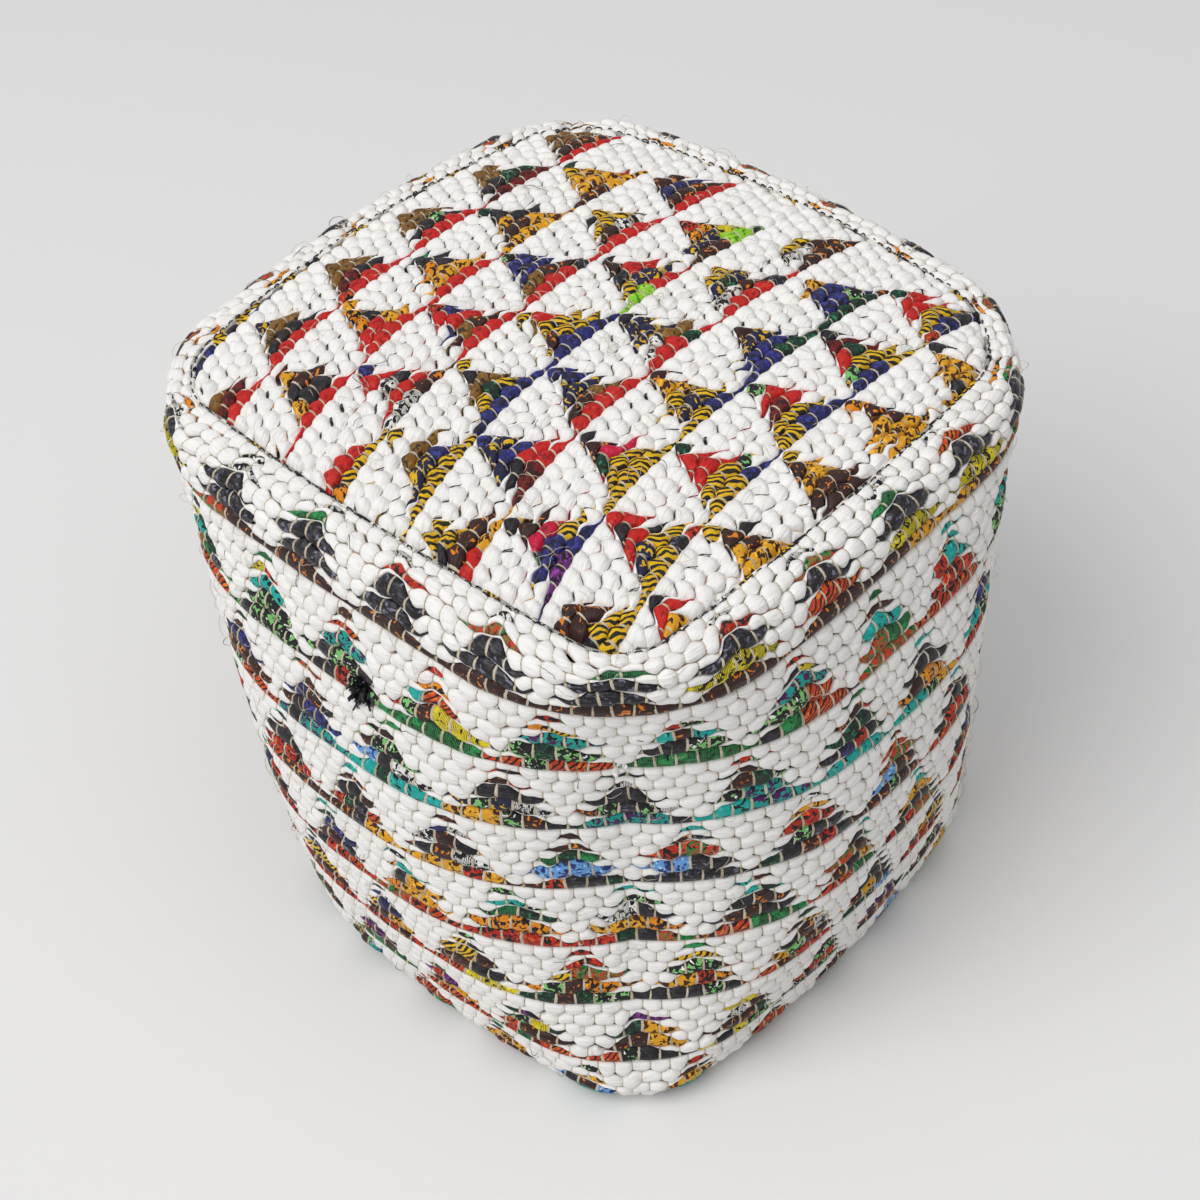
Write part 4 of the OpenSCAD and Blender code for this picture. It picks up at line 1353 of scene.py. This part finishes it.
def woven_material(name, tint, dark, pitch, twill=False):
    """Plain or twill weave with threads pitch apart."""
    n = Nodes(name)
    weave = n.read("weave")
    # A wave texture of scale 1 repeats every 2 pi / 20
    scale = 2 * math.pi / 20 / pitch
    warp, weft = (n.wave(weave, scale, 0.6, way) for way in ("DIAGONAL" if twill else "X", "Y"))
    grid = n.maths("MULTIPLY", warp, weft)
    slub = n.noise(n.vector("MULTIPLY", weave, (900.0, 60.0, 1.0)), 1.0)
    hue = n.mix(grid, dark, tint)
    hue = n.mix(n.step(slub, 0.5, 0.9), hue, dark)
    hue = n.mix(n.maths("MULTIPLY", n.noise(weave, 22.0, detail=3.0), 0.25), hue, dark)
    normal = n.bump(grid, 0.6, pitch * 0.35)
    normal = n.bump(n.noise(weave, 90.0, detail=3.0), 0.3, 0.8 * MM, normal)
    return n.finish(Base_Color=hue, Roughness=0.88, Specular_IOR_Level=0.3, Normal=normal)


def bead_material():
    """Small white foam beads, packed, with painted shade where they meet."""
    n = Nodes("foam beads")
    cells = n.add("ShaderNodeTexVoronoi", {"Vector": n.read("weave"), "Scale": 230.0})
    away = cells.outputs["Distance"]
    ball = n.maths("SUBTRACT", 1.0, n.maths("MULTIPLY", away, away))
    # Painted shade: the grey at the edges of each bead's cell stands for the shade in the gaps between the
    # beads
    hue = n.mix(n.step(ball, 0.55, 0.85), "b9b7b2", "f2f1ee")
    normal = n.bump(ball, 1.0, 2.4 * MM)
    return n.finish(Base_Color=hue, Roughness=0.6, Specular_IOR_Level=0.35, Normal=normal)


def metal_material():
    """Dull nickel plating with fine scratches."""
    n = Nodes("zip metal")
    at = n.add("ShaderNodeTexCoord").outputs["Object"]
    scratch = n.noise(n.vector("MULTIPLY", at, (150.0, 2600.0, 2600.0)), 1.0, detail=3.0)
    hue = n.mix(n.noise(at, 240.0), "8f8c85", "c9c6be")
    rough = n.maths("ADD", 0.22, n.maths("MULTIPLY", scratch, 0.3))
    return n.finish(Base_Color=hue, Metallic=1.0, Roughness=rough, Normal=n.bump(scratch, 0.25, 0.06 * MM))


def nylon_material():
    """Moulded zip teeth, slightly yellowed."""
    n = Nodes("nylon teeth")
    at = n.add("ShaderNodeTexCoord").outputs["Object"]
    cloud = n.noise(at, 130.0, detail=3.0)
    hue = n.mix(cloud, "d8cfb9", "ece6d7")
    rough = n.maths("ADD", 0.32, n.maths("MULTIPLY", cloud, 0.2))
    normal = n.bump(n.noise(at, 2400.0), 0.2, 0.05 * MM)
    return n.finish(Base_Color=hue, Roughness=rough, Specular_IOR_Level=0.45, Normal=normal)


def dress(names, material):
    """Gives CAD nodes that stay in view their material."""
    for name in names:
        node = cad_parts[name]
        node.data.materials.clear()
        node.data.materials.append(material)


def place_camera():
    """The camera stands off the front corner and looks down on it. Its angles are radians."""
    turn, tilt, roll = 0.7619, 0.7957, -0.0425
    focal, distance, aim = 64.82, 1.3274, Vector((0, 0, 0.2002))
    photo_width, photo_shift = 1200, (-5.5, -2.66)
    forward = Vector((-math.sin(turn) * math.cos(tilt), math.cos(turn) * math.cos(tilt), -math.sin(tilt)))
    right = Vector((math.cos(turn), math.sin(turn), 0))
    upward = right.cross(forward)
    across = right * math.cos(roll) + upward * math.sin(roll)
    above = upward * math.cos(roll) - right * math.sin(roll)
    data = bpy.data.cameras.new("camera")
    data.sensor_width = 36
    data.lens = focal
    data.shift_x = photo_shift[0] / photo_width
    data.shift_y = photo_shift[1] / photo_width
    data.clip_start = 0.01
    camera = bpy.data.objects.new("camera", data)
    bpy.context.scene.collection.objects.link(camera)
    basis = Matrix((across, above, -forward)).transposed().to_4x4()
    basis.translation = aim - forward * distance
    camera.matrix_world = basis
    bpy.context.scene.camera = camera


def soft_light(name, place, size, power):
    """A round area light that faces the middle of the pouf."""
    aim = (0, 0, 0.2)
    data = bpy.data.lights.new(name, "AREA")
    data.shape = "DISK"
    data.size = size
    data.energy = power
    lamp = bpy.data.objects.new(name, data)
    bpy.context.scene.collection.objects.link(lamp)
    lamp.location = place
    lamp.rotation_euler = (Vector(aim) - Vector(place)).to_track_quat("-Z", "Y").to_euler()


def direct_rays(tree):
    """1 for the rays that show the background: from the camera, in reflections and through glass."""
    rays = tree.nodes.new("ShaderNodeLightPath")
    seen = rays.outputs["Is Camera Ray"]
    for kind in ("Is Glossy Ray", "Is Transmission Ray"):
        either = tree.nodes.new("ShaderNodeMath")
        either.operation = "MAXIMUM"
        tree.links.new(seen, either.inputs[0])
        tree.links.new(rays.outputs[kind], either.inputs[1])
        seen = either.outputs[0]
    return seen


def floor_material():
    """A pale matt floor that turns into the backdrop's colour far from the object."""
    n = Nodes("floor")
    n.finish(Base_Color="eae9e8", Roughness=0.85)
    place = n.add("ShaderNodeNewGeometry").outputs["Position"]
    away = n.add("ShaderNodeVectorMath", {0: place}, operation="LENGTH").outputs["Value"]
    far = n.maths("MULTIPLY", direct_rays(n.tree), n.step(away, 1.4, 4.0))
    glow = n.add("ShaderNodeEmission", {"Color": BACKDROP, "Strength": 1.0})
    both = n.add("ShaderNodeMixShader", {0: far, 1: n.shader.outputs[0], 2: glow.outputs[0]})
    n.put(n.tree.nodes["Material Output"].inputs["Surface"], both.outputs[0])
    return n.material


def place_studio():
    """A pale floor, a large soft light from the front left, a weak one overhead and an even surround."""
    half = 40.0
    corners = [(-half, -half, 0), (half, -half, 0), (half, half, 0), (-half, half, 0)]
    floor = new_mesh("floor", corners, [(0, 1, 2, 3)], smooth=False)
    floor.data.materials.append(floor_material())
    world = bpy.data.worlds.new("world")
    world.use_nodes = True
    tree = world.node_tree
    surround = tree.nodes["Background"]
    surround.inputs["Color"].default_value = (0.97, 0.98, 1, 1)
    surround.inputs["Strength"].default_value = 0.345
    backdrop = tree.nodes.new("ShaderNodeBackground")
    backdrop.inputs["Color"].default_value = colour(BACKDROP)
    mix = tree.nodes.new("ShaderNodeMixShader")
    tree.links.new(direct_rays(tree), mix.inputs[0])
    tree.links.new(surround.outputs[0], mix.inputs[1])
    tree.links.new(backdrop.outputs[0], mix.inputs[2])
    tree.links.new(mix.outputs[0], tree.nodes["World Output"].inputs["Surface"])
    bpy.context.scene.world = world
    soft_light("key", place=(-0.83, -4.81, 5.82), size=6.0, power=294)
    soft_light("overhead", place=(0.6, -0.5, 3.4), size=4.0, power=42)
    bpy.context.scene.view_settings.view_transform = "Standard"


def main():
    """Builds every piece."""
    rag = rag_material()
    yarn = yarn_material("warp yarn", "d6cab4", "9c8d73")
    dark = yarn_material("dark thread", "2a2426", "120f12")
    woven_cover(rag, yarn)
    seam_strand(rag)
    seam_stitches(dark)
    upright_stitches(yarn)
    tuft("black_tuft", (-0.1064, 0.098), ("black", "coal", "black", "black"), 5.8 * MM, 420, 0.2, rag)
    tuft("white_knot", (-0.0029, 0.103), ("white",), 3.4 * MM, 70, 0.45, rag)
    tuft("red_fray", (-0.1835, 0.302), ("ember", "maroon", "umber"), 3.5 * MM, 70, 0.2, rag)
    loose_threads(yarn, dark)
    foot_stitches(yarn)
    base_canvas(woven_material("base canvas", "d8ccb4", "a3937a", 0.9 * MM))
    zip_tapes(woven_material("zip tape", "c9b48f", "8f7a58", 0.7 * MM, twill=True), yarn)
    liner_pieces(woven_material("liner cloth", "eeece6", "c9c5bb", 0.5 * MM))
    bead_mass(bead_material())
    dress(("zip_teeth_front", "zip_teeth_back"), nylon_material())
    dress(
        ("zip_top_stop_front", "zip_top_stop_back", "zip_bottom_stop", "zip_slider", "zip_pull"),
        metal_material(),
    )
    place_camera()
    place_studio()


main()
